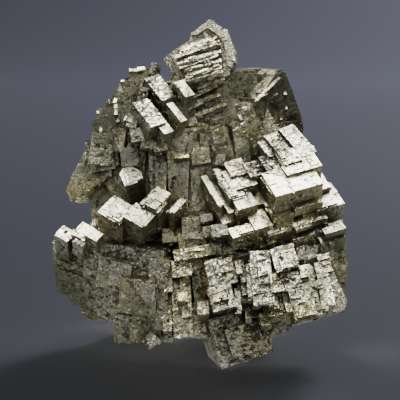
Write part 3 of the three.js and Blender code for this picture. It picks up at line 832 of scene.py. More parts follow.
@dataclass
class CrystalCrust:
    """The specimen's surface: plates, ribs and flakes grown on the cluster, cracks and pits cut in.

    Sizes are in mm and angles in degrees. A pair of numbers gives the limits of a random size.
    """

    host: HostFaces
    low: Array
    high: Array
    seed: int = 7
    sunk: float = 0.6
    heading_jitter: float = 6.0
    tip_share: float = 0.6
    small_sizes: float = 1.6
    least_width: float = 0.25
    lens_shares: tuple[float, float, float] = (0.6, 0.75, 1.3)
    crack_long: tuple[float, float] = (1.2, 5.0)
    crack_wide: tuple[float, float] = (0.12, 0.3)
    crack_deep: tuple[float, float] = (0.3, 0.8)
    crack_tilt: float = 3.0
    pit_side: tuple[float, float] = (0.3, 1.3)
    pit_deep: tuple[float, float] = (0.15, 0.5)
    pit_tilt: float = 5.0
    long_crack_halves: tuple[float, float] = (0.13, 0.45)
    chip_thick: float = 0.35
    chip_root: float = 0.45
    chip_out: float = 0.45
    chip_cosine: float = 0.995
    plates_rise: float = 0.5
    front_cosine: float = 0.15
    fit_tries: int = 3
    fit_shrink: float = 0.6
    fit_corner: float = 0.45
    fit_above: float = 0.4
    fit_reach: float = 0.9
    fit_cosine: float = 0.8
    pattern_shift: float = 7.31
    pattern_shift_up: float = 0.37
    pattern_span: float = 50.0
    tint_jitter: float = 0.45
    recess_rays: int = 10
    recess_reach: float = 5.0
    recess_lift: float = 0.06
    recess_spread: float = 1.05

    def __post_init__(self) -> None:
        """Starts the random numbers and the tree that rays are cast on."""
        self.rng = np.random.default_rng(self.seed)
        self.tree = BVHTree.FromPolygons(self.host.points.tolist(), self.host.triangles.tolist())

    def habit_of(self, places: Array, chosen: Array) -> tuple[Array, Array, Array]:
        """Tells the habit, heading and lean at places on the surface.

        Formula: a face turned well upwards grows plates, a steep one beds or rubble, and a
        stretch of the front that is listed by its outline overrides both.

        Args:
            places: Places in mm.
            chosen: The triangle of each place.

        Returns:
            The habit's number, the heading in degrees (nan where none) and the lean in degrees.
        """
        kinds = list(Habit)
        normal = self.host.normals[chosen]
        habit = np.full(len(places), kinds.index(Habit.RUBBLE))
        habit[normal[:, 2] > self.plates_rise] = kinds.index(Habit.PLATES)
        side = (np.abs(normal[:, 2]) < STEEP) & (self.host.face_of[chosen] % 3 > 0)
        habit[side] = kinds.index(Habit.BEDS)
        heading = np.full(len(places), np.nan)
        lean = np.zeros(len(places))
        shown = seen_at(places)
        facing = normal @ AWAY < -self.front_cosine
        front = places[:, 1] < HABITS_END
        for stretch in FRONT_STRETCHES:
            here = inside(stretch.outline, shown) & facing & front
            habit[here] = kinds.index(stretch.habit)
            lean[here] = stretch.lean
            if stretch.heading is not None:
                heading[here] = stretch.heading
        return habit, heading, lean

    def lie(self, chosen: Array, heading: Array, lean: Array, tilt: Array) -> Array:
        """Works out the axes of small crystals on their faces.

        Formula: the long axis is the crystal's own axis or, with a heading, the line in the face
        that shows at that angle in the front view; then each is tipped upwards by its lean and
        every way by a small random turn.

        Args:
            chosen: The triangle under each.
            heading: Angle in the front view in degrees, or nan.
            lean: How far each is tipped upwards in degrees.
            tilt: Greatest random tip in degrees for each.

        Returns:
            Axes as rows: long, short, outwards.
        """
        rng = self.rng
        axes = self.host.axes[chosen].copy()
        normal = axes[:, 2]
        swap = rng.random(len(chosen)) < 0.5
        along = np.where(swap[:, None], axes[:, 1], axes[:, 0])
        given = ~np.isnan(heading)
        jitter = rng.normal(0, self.heading_jitter, len(chosen))
        wanted = at_angle(np.where(given, heading, 0.0) + jitter)
        along = np.where(given[:, None], unit(in_face(wanted, normal)), along)
        tip = np.radians(tilt)[:, None] * rng.normal(0, self.tip_share, (len(chosen), 2))
        side = np.cross(normal, along)
        rising = unit(UP - (normal @ UP)[:, None] * normal) * np.tan(np.radians(lean))[:, None]
        outward = unit(normal + rising + tip[:, :1] * along + tip[:, 1:] * side)
        along = unit(along - (along * outward).sum(1)[:, None] * outward)
        return np.stack([along, np.cross(outward, along), outward], axis=1)

    def spread(self, per_mm2: str) -> tuple[Array, Array, Array, Array, Array]:
        """Draws places with the density that each habit asks for.

        Args:
            per_mm2: The name of the style's field with the density.

        Returns:
            Places, their triangles, habits, headings and leans.
        """
        densities = by_habit(per_mm2)
        densest = densities.max()
        count = int(self.host.areas.sum() * densest)
        places, chosen = self.host.scatter(count, self.host.areas, self.rng)
        habit, heading, lean = self.habit_of(places, chosen)
        keep = self.rng.random(count) < densities[habit] / densest
        return places[keep], chosen[keep], habit[keep], heading[keep], lean[keep]

    def style_values(self, name: str, habit: Array) -> Array:
        """Draws a size between each habit's two limits.

        Args:
            name: The style's field with the limits.
            habit: Each solid's habit.

        Returns:
            One size for each.
        """
        limits = by_habit(name)[habit]
        share = self.rng.random(len(habit)) ** self.small_sizes
        return limits[:, 0] + share * (limits[:, 1] - limits[:, 0])

    def growth(self) -> list[Grains]:
        """Works out the plates and the lens-shaped ribs that stand on the faces.

        Returns:
            The plates and the lenses.
        """
        places, chosen, habit, heading, lean = self.spread("per_mm2")
        long = self.style_values("long", habit)
        wide = np.maximum(long * self.style_values("ratio", habit), self.least_width)
        rise = self.style_values("rise", habit)
        axes = self.lie(chosen, heading, lean, by_habit("tilt")[habit])
        is_lens = self.rng.random(len(habit)) < by_habit("lens")[habit]
        long, wide, held = self.fit_to_face(places, axes, long, wide)
        held |= is_lens
        places, axes, long, wide, rise, is_lens = (
            values[held] for values in (places, axes, long, wide, rise, is_lens)
        )
        half_high = (rise + self.sunk) / 2
        centres = places + axes[:, 2] * (rise - half_high)[:, None]
        halves = np.stack([long / 2, wide / 2, half_high], axis=1)
        flat = ~is_lens
        plates = boxes(centres[flat], halves[flat], axes[flat])
        lens_halves = np.stack([long, wide, rise], axis=1)[is_lens] * self.lens_shares
        shape = (LENS_CORNERS, LENS_TRIANGLES)
        return [plates, Grains(*shape, places[is_lens], lens_halves, axes[is_lens])]

    def fit_to_face(
        self, places: Array, axes: Array, long: Array, wide: Array
    ) -> tuple[Array, Array, Array]:
        """Shrinks small crystals until the face under them carries all four corners.

        Formula: from just above each corner a ray goes inwards, and the corner is carried when it
        soon meets a face that looks the same way.

        Args:
            places: Where they stand, in mm.
            axes: Their axes.
            long: Their lengths.
            wide: Their widths.

        Returns:
            The lengths, the widths, and which of them are carried in the end.
        """
        held = np.zeros(len(places), bool)
        signs = np.array([[-1, -1], [-1, 1], [1, -1], [1, 1]], float) * self.fit_corner
        normals = self.host.normals
        for attempt in range(self.fit_tries):
            open_ones = np.flatnonzero(~held)
            if attempt:
                long[open_ones] *= self.fit_shrink
                wide[open_ones] *= self.fit_shrink
            offset = (
                signs[None, :, :1] * (axes[open_ones, 0] * long[open_ones, None])[:, None]
                + signs[None, :, 1:] * (axes[open_ones, 1] * wide[open_ones, None])[:, None]
            )
            outward = axes[open_ones, 2]
            starts = places[open_ones, None] + offset + outward[:, None] * self.fit_above
            carried = np.ones(len(open_ones), bool)
            for corner in range(4):
                hits = [
                    self.tree.ray_cast(a, b, self.fit_reach)[2]
                    for a, b in zip(starts[:, corner].tolist(), (-outward).tolist())
                ]
                met = np.array([-1 if h is None else h for h in hits])
                same = (normals[met] * outward).sum(axis=1) > self.fit_cosine
                carried &= (met >= 0) & same
            held[open_ones[carried]] = True
        return long, wide, held

    def cuts(self) -> Grains:
        """Works out the cracks and the small square pits.

        Returns:
            Boxes to cut out.
        """
        rng = self.rng
        places, chosen, _, heading, _ = self.spread("cracks_per_mm2")
        count = len(places)
        axes = self.lie(chosen, heading, np.zeros(count), np.full(count, self.crack_tilt))
        long = rng.uniform(*self.crack_long, count)
        wide = rng.uniform(*self.crack_wide, count)
        deep = rng.uniform(*self.crack_deep, count)
        halves = np.stack([long / 2, wide / 2, deep], axis=1)
        spots, chosen, _, heading, _ = self.spread("pits_per_mm2")
        count = len(spots)
        pit_axes = self.lie(chosen, heading, np.zeros(count), np.full(count, self.pit_tilt))
        side = rng.uniform(*self.pit_side, (count, 2))
        deep = rng.uniform(*self.pit_deep, count)
        pit_halves = np.stack([side[:, 0] / 2, side[:, 1] / 2, deep], axis=1)
        return boxes(
            np.concatenate([places, spots]),
            np.concatenate([halves, pit_halves]),
            np.concatenate([axes, pit_axes]),
        )

    def chips(self) -> Grains:
        """Works out the single bright facets of the front.

        Formula: a ray from the viewer meets the surface, and there a box has its top leaned back
        from the viewer, pushed out until the top's far edge is on the surface.

        Returns:
            One box for each facet.
        """
        spots = np.array([[c.across, c.up, c.wide, c.high, c.roll, c.lean] for c in CHIPS])
        met, places, _ = seen_surface(self.tree, spots[:, :2])
        _, _, wide, high, roll, lean = spots[met].T
        axes = leaned_axes(roll, lean)
        lean = np.radians(lean)
        thick = self.chip_thick * high + self.chip_root
        tops = places - AWAY * (self.chip_out * high * np.tan(lean))[:, None]
        halves = np.stack([wide / 2, high / 2 / np.cos(lean), thick], axis=1)
        return boxes(tops - axes[:, 2] * thick[:, None], halves, axes)

    def crack_cuts(self) -> Grains:
        """Works out the long cracks of the front.

        Formula: a ray from the viewer meets the face at the crack's middle, and a narrow box lies
        there along the line in the face that shows as the crack.

        Returns:
            Boxes to cut out.
        """
        lines = np.array(CRACKS)
        middle = (lines[:, :2] + lines[:, 2:]) / 2
        run = lines[:, 2:] - lines[:, :2]
        met, places, chosen = seen_surface(self.tree, middle)
        normal = self.host.normals[chosen]
        slid = in_face(run[met, :1] * RIGHT + run[met, 1:] * UP, normal)
        along = unit(slid)
        half_wide, half_deep = np.tile(self.long_crack_halves, (len(slid), 1)).T
        halves = np.stack([np.linalg.norm(slid, axis=1) / 2, half_wide, half_deep], axis=1)
        axes = np.stack([along, np.cross(normal, along), normal], axis=1)
        return boxes(places, halves, axes)

    def build(self) -> bpy.types.Object:
        """Grows the crust on a copy of the cluster and joins all of it into one closed body.

        Returns:
            The specimen's object.
        """
        body = mesh_object("marcasite_crystals", self.host.points, self.host.triangles)
        for cuts in (self.cuts(), self.crack_cuts()):
            cuts.work_into(body, "DIFFERENCE", self.low, self.high)
        for grains in (*self.growth(), self.chips()):
            grains.work_into(body, "UNION", self.low, self.high)
        self.dress_surface(body)
        return body

    def dress_surface(self, body: bpy.types.Object) -> None:
        """Triangulates the body and gives it its pattern coordinates and surface values.

        Args:
            body: The joined body.
        """
        work = bmesh.new()
        work.from_mesh(body.data)
        bmesh.ops.triangulate(work, faces=work.faces)
        work.to_mesh(body.data)
        work.free()
        mesh = body.data
        keep_largest(mesh)
        points = np.empty(len(mesh.vertices) * 3, np.float32)
        mesh.vertices.foreach_get("co", points)
        points = points.reshape(-1, 3).astype(float) / MM
        corners = points[corner_numbers(mesh)]
        normal = unit(np.cross(corners[:, 1] - corners[:, 0], corners[:, 2] - corners[:, 0]))
        centre = corners.mean(axis=1)
        nearest = np.array([self.tree.find_nearest(c)[2] for c in centre.tolist()])
        self.lay_pattern(mesh, corners, normal, nearest)
        self.paint_faces(mesh, centre, normal, nearest)
        self.paint_recess(mesh, points)
        log.info("surface values on %d triangles", len(mesh.polygons))

    def lay_pattern(self, mesh: bpy.types.Mesh, corners: Array, normal: Array, nearest: Array) -> None:
        """Lays pattern coordinates on each triangle along its crystal's axes, 1 for each 10 mm.

        Formula: of the crystal's three axes, the one nearest the triangle's normal is left out,
        and the corner's distances along the other two are its coordinates.

        Args:
            mesh: The body's mesh.
            corners: The triangles' corners in mm.
            normal: The triangles' normals.
            nearest: The host triangle nearest to each.
        """
        axes = self.host.axes[nearest]
        lean = np.abs(np.einsum("nij,nj->ni", axes, normal))
        out = lean.argmax(axis=1)
        first = np.array([1, 0, 0])[out]
        second = np.array([2, 2, 1])[out]
        rows = np.arange(len(normal))
        u = np.einsum("nci,ni->nc", corners, axes[rows, first])
        v = np.einsum("nci,ni->nc", corners, axes[rows, second])
        shift = ((self.host.face_of[nearest] * self.pattern_shift) % self.pattern_span)[:, None]
        uv = np.stack([u + shift, v + shift * self.pattern_shift_up], axis=2) / PATTERN_SCALE
        layer = mesh.uv_layers.new(name="growth")
        layer.data.foreach_set("uv", uv.astype(np.float32).ravel())

    def paint_faces(self, mesh: bpy.types.Mesh, centre: Array, normal: Array, nearest: Array) -> None:
        """Stores tone, roughness and the tints, painted shade and painted dark flecks among them, for
        each triangle.

        Formula: a tint covers the triangles whose centres, jittered a little, lie in its outline.
        The facets listed one by one stay smooth and clean.

        Args:
            mesh: The body's mesh.
            centre: The triangles' centres in mm.
            normal: The triangles' normals.
            nearest: The host triangle nearest to each.
        """
        habit, _, lean = self.habit_of(centre, nearest)
        rng = np.random.default_rng(self.seed + 1)
        tone = rng.random(self.host.face_of.max() + 1)[self.host.face_of[nearest]]
        rough = by_habit("roughness")[habit]
        shown = seen_at(centre) + rng.normal(0, self.tint_jitter, (len(centre), 2))
        facing = (normal @ AWAY < -LEAST_DEPTH) & (centre[:, 1] < TINTS_END)
        values = {"tone": tone, "rough": rough}
        on_chip = self.on_chip(centre, normal)
        values["ledges"] = np.where(on_chip, 0.0, np.minimum(lean / FULL_LEDGES_LEAN, 1.0))
        for name in ("gilt", "tarnish", "rust", "shade", "speckle"):
            amount = np.zeros(len(centre))
            for tint in FRONT_TINTS:
                here = inside(tint.outline, shown) & facing
                if tint.walls_only:
                    here &= normal[:, 2] < STEEP
                amount[here] = np.maximum(amount[here], getattr(tint, name))
            values[name] = amount
            if name != "gilt":
                amount[on_chip] = 0.0
        rough[on_chip] = CHIP_ROUGHNESS
        for name, numbers in values.items():
            layer = mesh.attributes.new(name, "FLOAT", "FACE")
            layer.data.foreach_set("value", numbers.astype(np.float32))

    def on_chip(self, centre: Array, normal: Array) -> Array:
        """Tells which triangles belong to the top of a facet listed one by one."""
        shown = seen_at(centre)
        found = np.zeros(len(centre), bool)
        for chip in CHIPS:
            lean = math.radians(chip.lean)
            outward = math.sin(lean) * UP - math.cos(lean) * AWAY
            near = np.hypot(shown[:, 0] - chip.across, shown[:, 1] - chip.up)
            faces_it = normal @ outward > self.chip_cosine
            found |= (near < math.hypot(chip.wide, chip.high) / 2) & faces_it
        return found

    def paint_recess(self, mesh: bpy.types.Mesh, points: Array) -> None:
        """Stores how far each point is hidden among its neighbours, from 0 open to 1 buried. The finish
        darkens buried places by it, as tarnish and painted shade.

        Formula: of rays spread over the half sphere about the point's normal, the share that
        meets the body within a few mm, near hits counting more.

        Args:
            mesh: The body's mesh.
            points: The points in mm.
        """
        triangles = corner_numbers(mesh)
        corners = points[triangles]
        face_normal = np.cross(corners[:, 1] - corners[:, 0], corners[:, 2] - corners[:, 0])
        normal = np.zeros_like(points)
        for corner in range(3):
            np.add.at(normal, triangles[:, corner], unit(face_normal))
        normal = unit(normal)
        rng = np.random.default_rng(self.seed + 2)
        tree = BVHTree.FromPolygons(points.tolist(), triangles.tolist())
        rays, reach = self.recess_rays, self.recess_reach
        hidden = np.zeros(len(points))
        for _ in range(rays):
            direction = unit(normal * self.recess_spread + unit(rng.normal(0, 1, points.shape)))
            start = points + normal * self.recess_lift
            hits = [
                tree.ray_cast(s, d, reach)[3]
                for s, d in zip(start.tolist(), direction.tolist())
            ]
            gap = np.array([reach if h is None else h for h in hits])
            hidden += 1 - gap / reach
        layer = mesh.attributes.new("recess", "FLOAT", "POINT")
        layer.data.foreach_set("value", (hidden / rays).astype(np.float32))


# Finishes


@dataclass
class Board:
    """A node tree being wired, with short calls for the usual nodes."""

    tree: bpy.types.NodeTree
    column: int = 0

    def node(self, kind: str, **settings: object) -> bpy.types.Node:
        """Adds a node.

        Args:
            kind: The node's type name.
            settings: Its properties.

        Returns:
            The node.
        """
        made = self.tree.nodes.new(kind)
        made.location = (self.column * 180, 0)
        self.column += 1
        for name, value in settings.items():
            setattr(made, name, value)
        return made

    def wire(self, source: Socket, target: Socket) -> None:
        """Links an output to an input."""
        self.tree.links.new(source, target)

    def feed(self, socket: Socket, value: object) -> None:
        """Links a socket to an input, or sets the input to a constant."""
        if isinstance(value, bpy.types.NodeSocket):
            self.wire(value, socket)
        else:
            socket.default_value = value

    def math(self, operation: str, *values: object, clamp: bool = False) -> Socket:
        """Adds a Math node and gives its result.

        Args:
            operation: The node's operation.
            values: Sockets or numbers for its inputs.
            clamp: Whether the result is kept between 0 and 1.

        Returns:
            The result's socket.
        """
        made = self.node("ShaderNodeMath", operation=operation, use_clamp=clamp)
        for number, value in enumerate(values):
            self.feed(made.inputs[number], value)
        return made.outputs[0]

    def vector(self, operation: str, first: object, second: object) -> Socket:
        """Adds a Vector Math node and gives its vector.

        Args:
            operation: The node's operation.
            first: Socket or vector for its first input.
            second: Socket or vector for its second input.

        Returns:
            The vector's socket.
        """
        made = self.node("ShaderNodeVectorMath", operation=operation)
        self.feed(made.inputs[0], first)
        self.feed(made.inputs[1], second)
        return made.outputs[0]

    def scaled(self, first: object, scale: object) -> Socket:
        """Gives a vector times a number."""
        made = self.node("ShaderNodeVectorMath", operation="SCALE")
        self.feed(made.inputs[0], first)
        self.feed(made.inputs["Scale"], scale)
        return made.outputs[0]

    def dot(self, first: object, second: object) -> Socket:
        """Gives the dot product of two vectors."""
        made = self.node("ShaderNodeVectorMath", operation="DOT_PRODUCT")
        self.feed(made.inputs[0], first)
        self.feed(made.inputs[1], second)
        return made.outputs["Value"]

    def split(self, vector: Socket, axis: str) -> Socket:
        """Gives the part of a vector along one of its axes, X, Y or Z."""
        made = self.node("ShaderNodeSeparateXYZ")
        self.wire(vector, made.inputs[0])
        return made.outputs[axis]

    def noise(self, vector: Socket, scale: object, detail: float, flat: bool = True) -> bpy.types.Node:
        """Adds a noise texture.

        Args:
            vector: Socket with the place.
            scale: Socket or number for its scale.
            detail: How many finer layers it has.
            flat: Whether it varies in two directions only.

        Returns:
            The texture's node.
        """
        made = self.node("ShaderNodeTexNoise", noise_dimensions="2D" if flat else "3D")
        self.wire(vector, made.inputs["Vector"])
        self.feed(made.inputs["Scale"], scale)
        made.inputs["Detail"].default_value = detail
        return made

    def square_cells(self, vector: Socket, feature: str = "F1") -> bpy.types.Node:
        """Adds a flat texture of cells whose distance is measured in squares.

        Args:
            vector: Socket with the place.
            feature: F1 for the nearest cell, F2 for the next.

        Returns:
            The texture's node.
        """
        made = self.node("ShaderNodeTexVoronoi", voronoi_dimensions="2D", distance="CHEBYCHEV")
        made.feature = feature
        made.inputs["Scale"].default_value = 1.0
        self.wire(vector, made.inputs["Vector"])
        return made

    def place(self, group: bpy.types.NodeTree, **values: object) -> bpy.types.bpy_prop_collection:
        """Places a group, sets or links its inputs by name and gives its outputs.

        Args:
            group: The group.
            values: A socket or number for each input.

        Returns:
            The outputs, by name.
        """
        made = self.node("ShaderNodeGroup", node_tree=group)
        for title, value in values.items():
            self.feed(made.inputs[title], value)
        return made.outputs

    def ramp(
        self, value: object, low: float, high: float, to_low: float = 0.0, to_high: float = 1.0
    ) -> Socket:
        """Maps a value smoothly from one range to another.

        Args:
            value: Socket or number to map.
            low: Where the range starts.
            high: Where it ends.
            to_low: Result at the start.
            to_high: Result at the end.

        Returns:
            The result's socket.
        """
        made = self.node("ShaderNodeMapRange", interpolation_type="SMOOTHSTEP")
        self.feed(made.inputs["Value"], value)
        made.inputs["From Min"].default_value = low
        made.inputs["From Max"].default_value = high
        made.inputs["To Min"].default_value = to_low
        made.inputs["To Max"].default_value = to_high
        return made.outputs["Result"]

    def blend(self, share: object, first: object, second: object) -> Socket:
        """Blends two colours.

        Args:
            share: How much of the second.
            first: Socket or colour.
            second: Socket or colour.

        Returns:
            The colour's socket.
        """
        made = self.node("ShaderNodeMix", data_type="RGBA")
        self.feed(made.inputs["Factor"], share)
        self.feed(made.inputs[6], first)
        self.feed(made.inputs[7], second)
        return made.outputs[2]

    def surface_value(self, name: str) -> Socket:
        """Reads one of the surface values stored on the mesh."""
        return self.node("ShaderNodeAttribute", attribute_name=name).outputs["Fac"]

    def end(self, shader: bpy.types.Node, kind: str = "ShaderNodeOutputMaterial") -> None:
        """Links a shader to the tree's output."""
        self.wire(shader.outputs[0], self.node(kind).inputs["Surface"])


def empty_board(owner: bpy.types.Material | bpy.types.World) -> Board:
    """Empties the node tree of a material or world and gives a board to wire it on."""
    owner.use_nodes = True
    owner.node_tree.nodes.clear()
    return Board(owner.node_tree)


def start_group(
    name: str, sizes: dict[str, float], results: tuple[str, ...]
) -> tuple[Board, bpy.types.bpy_prop_collection, bpy.types.bpy_prop_collection]:
    """Starts a shader node group with an input named Vector.

    Args:
        name: The group's name.
        sizes: Its other inputs, all numbers, with their defaults.
        results: Its outputs, all numbers.

    Returns:
        The board, what the group is given and what it gives out, by name.
    """
    tree = bpy.data.node_groups.new(name, "ShaderNodeTree")
    tree.interface.new_socket(name="Vector", in_out="INPUT", socket_type="NodeSocketVector")
    for title, default in sizes.items():
        socket = tree.interface.new_socket(
            name=title, in_out="INPUT", socket_type="NodeSocketFloat"
        )
        socket.default_value = default
    for title in results:
        tree.interface.new_socket(name=title, in_out="OUTPUT", socket_type="NodeSocketFloat")
    board = Board(tree)
    return board, board.node("NodeGroupInput").outputs, board.node("NodeGroupOutput").inputs


def tilted_cells_group() -> bpy.types.NodeTree:
    """Makes the group for small growth cells, each a flat top with its own slope and level.

    Formula: in each square-metric cell the height is the place within the cell times a random
    slope, plus a random level. The edge mask is 1 where the two nearest cells are equally near.

    Returns:
        The group, with inputs Vector, Size, Slope and Step, and outputs Height, Tone and Edge.
    """
    sizes = {"Size": 1.0, "Slope": 0.2, "Step": 0.1}
    board, given, out = start_group("tilted_growth_cells", sizes, ("Height", "Tone", "Edge"))
    scaled = board.scaled(given["Vector"], board.math("DIVIDE", 1.0, given["Size"]))
    cells = board.square_cells(scaled)
    second = board.square_cells(scaled, "F2")
    local = board.vector("SUBTRACT", scaled, cells.outputs["Position"])
    lean = board.vector("SUBTRACT", cells.outputs["Color"], (0.5, 0.5, 0.5))
    level = board.split(lean, "Z")
    sloped = board.dot(local, board.vector("MULTIPLY", lean, (1.0, 1.0, 0.0)))
    sloped = board.math("MULTIPLY", sloped, given["Slope"])
    sloped = board.math("MULTIPLY", sloped, given["Size"])
    gap = board.math("SUBTRACT", second.outputs["Distance"], cells.outputs["Distance"])
    height = board.math("ADD", sloped, board.math("MULTIPLY", level, given["Step"]))
    board.wire(height, out["Height"])
    board.wire(board.math("ADD", level, 0.5), out["Tone"])
    board.wire(board.ramp(gap, 0.09, 0.02), out["Edge"])
    return board.tree


def pits_group() -> bpy.types.NodeTree:
    """Makes the group for small uneven pits.

    Formula: near the middle of a square-metric cell, out to a random share of it that a fine
    noise makes uneven, the mask is 1.

    Returns:
        The group, with inputs Vector, Size and Share, and output Mask.
    """
    board, given, out = start_group("uneven_pits", {"Size": 1.0, "Share": 0.4}, ("Mask",))
    scaled = board.scaled(given["Vector"], board.math("DIVIDE", 1.0, given["Size"]))
    cells = board.square_cells(scaled)
    uneven = board.math("SUBTRACT", board.noise(scaled, 2.6, 2.0).outputs["Fac"], 0.5)
    wide = board.math("MULTIPLY", board.split(cells.outputs["Color"], "X"), given["Share"])
    wide = board.math("MULTIPLY_ADD", uneven, 0.7, wide)
    inner = board.math("SUBTRACT", wide, cells.outputs["Distance"])
    board.wire(board.ramp(inner, -0.02, 0.06), out["Mask"])
    return board.tree


def ledges_group() -> bpy.types.NodeTree:
    """Makes the group for fine ledges that face upwards, one above another.

    Formula: the distance up the front, at a slight slope and swayed by noise, is cut into equal
    strides, and in each the height falls evenly from its lower edge to its upper edge.

    Returns:
        The group, with inputs Vector, Stride and Slope, and outputs Height and Edge.
    """
    sizes = {"Stride": 1.4, "Slope": 0.4}
    board, given, out = start_group("fine_ledges", sizes, ("Height", "Edge"))
    rising = board.dot(given["Vector"], (-0.22, 0.17, 0.96))
    sway = board.noise(given["Vector"], 0.28, 2.0, flat=False)
    strides = board.math("DIVIDE", rising, given["Stride"])
    strides = board.math("MULTIPLY_ADD", sway.outputs["Fac"], 2.0, strides)
    share = board.math("FRACT", strides)
    fall = board.math("MULTIPLY", share, given["Stride"])
    fall = board.math("MULTIPLY", fall, given["Slope"])
    board.wire(board.math("MULTIPLY", fall, -1.0), out["Height"])
    board.wire(board.ramp(share, 0.1, 0.02), out["Edge"])
    return board.tree


def streak_group() -> bpy.types.NodeTree:
    """Makes the group for fine growth lines along the crystal's first axis.

    Formula: noise on coordinates that count less along the first axis, so that it is drawn out.

    Returns:
        The group, with inputs Vector, Fineness and Along, and output Height.
    """
    sizes = {"Fineness": 1.0, "Along": 0.18}
    board, given, out = start_group("growth_lines", sizes, ("Height",))
    counts = board.node("ShaderNodeCombineXYZ")
    board.wire(given["Along"], counts.inputs["X"])
    counts.inputs["Y"].default_value = 2.4
    stretched = board.vector("MULTIPLY", given["Vector"], counts.outputs[0])
    board.wire(board.noise(stretched, given["Fineness"], 3.0).outputs["Fac"], out["Height"])
    return board.tree


@dataclass
class MarcasiteFinish:
    """The mineral's finish: bright pale metal, golden in places, dull olive in its recesses as tarnish
    and painted shade, with painted shade in its pits, cracks and ledge steps.

    Sizes and depths are in mm. Each layer of growth cells has a size, a slope and a step, and the
    shapes of lines and combs are how many they are and how much they count along the crystal.
    """

    clean: Colour = (0.63, 0.605, 0.47, 1.0)
    golden: Colour = (0.50, 0.45, 0.245, 1.0)
    olive: Colour = (0.16, 0.162, 0.108, 1.0)
    rusty: Colour = (0.30, 0.13, 0.04, 1.0)
    # colour of the painted shade in pits, cracks, ledge steps, shade tints and buried places
    painted_shade_black: Colour = (0.05, 0.05, 0.042, 1.0)
    # very dark colour of the speckle's flecks, painted shade
    painted_fleck_shade: Colour = (0.008, 0.008, 0.007, 1.0)
    roughness: float = 0.17
    dull_roughness: float = 0.2
    cell_roughness: float = 0.12
    cell_layers: tuple[tuple[float, float, float], ...] = (
        (2.6, 0.5, 0.10),
        (1.05, 0.9, 0.10),
        (0.5, 1.1, 0.06),
    )
    pit_size: float = 0.9
    pit_depth: float = 0.10
    crack_depth: float = 0.12
    line_height: float = 0.06
    line_shape: tuple[float, float] = (2.0, 0.18)
    comb_shape: tuple[float, float] = (0.85, 0.7)
    ledge_stride: float = 1.3
    ledge_slope: float = 0.34

    def material(self) -> bpy.types.Material:
        """Makes the material.

        Returns:
            The material.
        """
        made = bpy.data.materials.new("marcasite")
        board = empty_board(made)
        names = ("rough", "recess", "tone", "gilt", "tarnish", "rust", "shade", "speckle", "ledges")
        masks = {name: board.surface_value(name) for name in names}
        solid = board.node("ShaderNodeTexCoord").outputs["Object"]
        bump = board.node("ShaderNodeBump")
        bump.inputs["Strength"].default_value = 1.0
        bump.inputs["Distance"].default_value = MM
        board.wire(self.relief(board, masks, solid), bump.inputs["Height"])
        self.stain(board, masks, solid)
        shader = board.node("ShaderNodeBsdfPrincipled")
        shader.inputs["Metallic"].default_value = 1.0
        board.wire(self.colour(board, masks), shader.inputs["Base Color"])
        worn = board.math("MULTIPLY_ADD", masks["dull"], self.dull_roughness, self.roughness)
        worn = board.math("MULTIPLY_ADD", masks["cell"], self.cell_roughness, worn)
        board.wire(worn, shader.inputs["Roughness"])
        board.wire(bump.outputs["Normal"], shader.inputs["Normal"])
        board.end(shader)
        return made

    def relief(self, board: Board, masks: dict[str, Socket], solid: Socket) -> Socket:
        """Wires the fine relief, and adds its masks to the given ones.

        Formula: the heights of the layers of growth cells, of the growth lines and of the ledges
        are added up, and the depths of the pits and cracks are taken off.

        Args:
            board: The material's board.
            masks: The surface values. They get cell, pits, cracks, combs and edges; pits, cracks, combs
                and edges also paint shade into the colour.
            solid: Socket with the place on the specimen in metres.

        Returns:
            The height in mm.
        """
        growth = board.node("ShaderNodeUVMap", uv_map="growth").outputs[0]
        straight = board.scaled(growth, PATTERN_SCALE)
        sway = board.noise(straight, 0.8, 2.0)
        shift = board.vector("SUBTRACT", sway.outputs["Color"], (0.5, 0.5, 0.5))
        wavy = board.vector("ADD", straight, board.scaled(shift, 0.9))
        rough, speckle, ledged = (masks[name] for name in ("rough", "speckle", "ledges"))
        cells = tilted_cells_group()
        levels = [
            board.place(
                cells,
                Vector=vector,
                Size=size,
                Slope=board.math("MULTIPLY", rough, slope),
                Step=board.math("MULTIPLY", board.math("ADD", rough, 0.12), step),
            )
            for vector, (size, slope, step) in zip((wavy, wavy, straight), self.cell_layers)
        ]
        share = board.math("MULTIPLY_ADD", speckle, 0.4, board.ramp(rough, 0.0, 1.0, 0.12, 0.36))
        pits = board.place(pits_group(), Vector=wavy, Size=self.pit_size, Share=share)["Mask"]
        streaks = streak_group()
        lines, marks = (
            board.place(streaks, Vector=straight, Fineness=fineness, Along=along)["Height"]
            for fineness, along in (self.line_shape, self.comb_shape)
        )
        in_mm = board.scaled(solid, 1 / MM)
        slope = self.ledge_slope
        ledges = board.place(ledges_group(), Vector=in_mm, Stride=self.ledge_stride, Slope=slope)
        open_cracks = board.ramp(sway.outputs["Fac"], 0.5, 0.6)
        cracks = board.math("MULTIPLY", levels[0]["Edge"], open_cracks)
        height = board.math("ADD", levels[0]["Height"], levels[1]["Height"])
        height = board.math("ADD", height, levels[2]["Height"])
        height = board.math("MULTIPLY_ADD", pits, -self.pit_depth, height)
        height = board.math("MULTIPLY_ADD", cracks, -self.crack_depth, height)
        height = board.math("MULTIPLY_ADD", lines, self.line_height, height)
        masks["cell"] = levels[1]["Tone"]
        masks["pits"] = pits
        masks["cracks"] = cracks
        # comb marks under the speckle, painted as very dark flecks of shade in the colour
        masks["combs"] = board.math("MULTIPLY", board.ramp(marks, 0.55, 0.48), speckle)
        masks["edges"] = board.math("MULTIPLY", ledges["Edge"], ledged)
        return board.math("MULTIPLY_ADD", ledges["Height"], ledged, height)

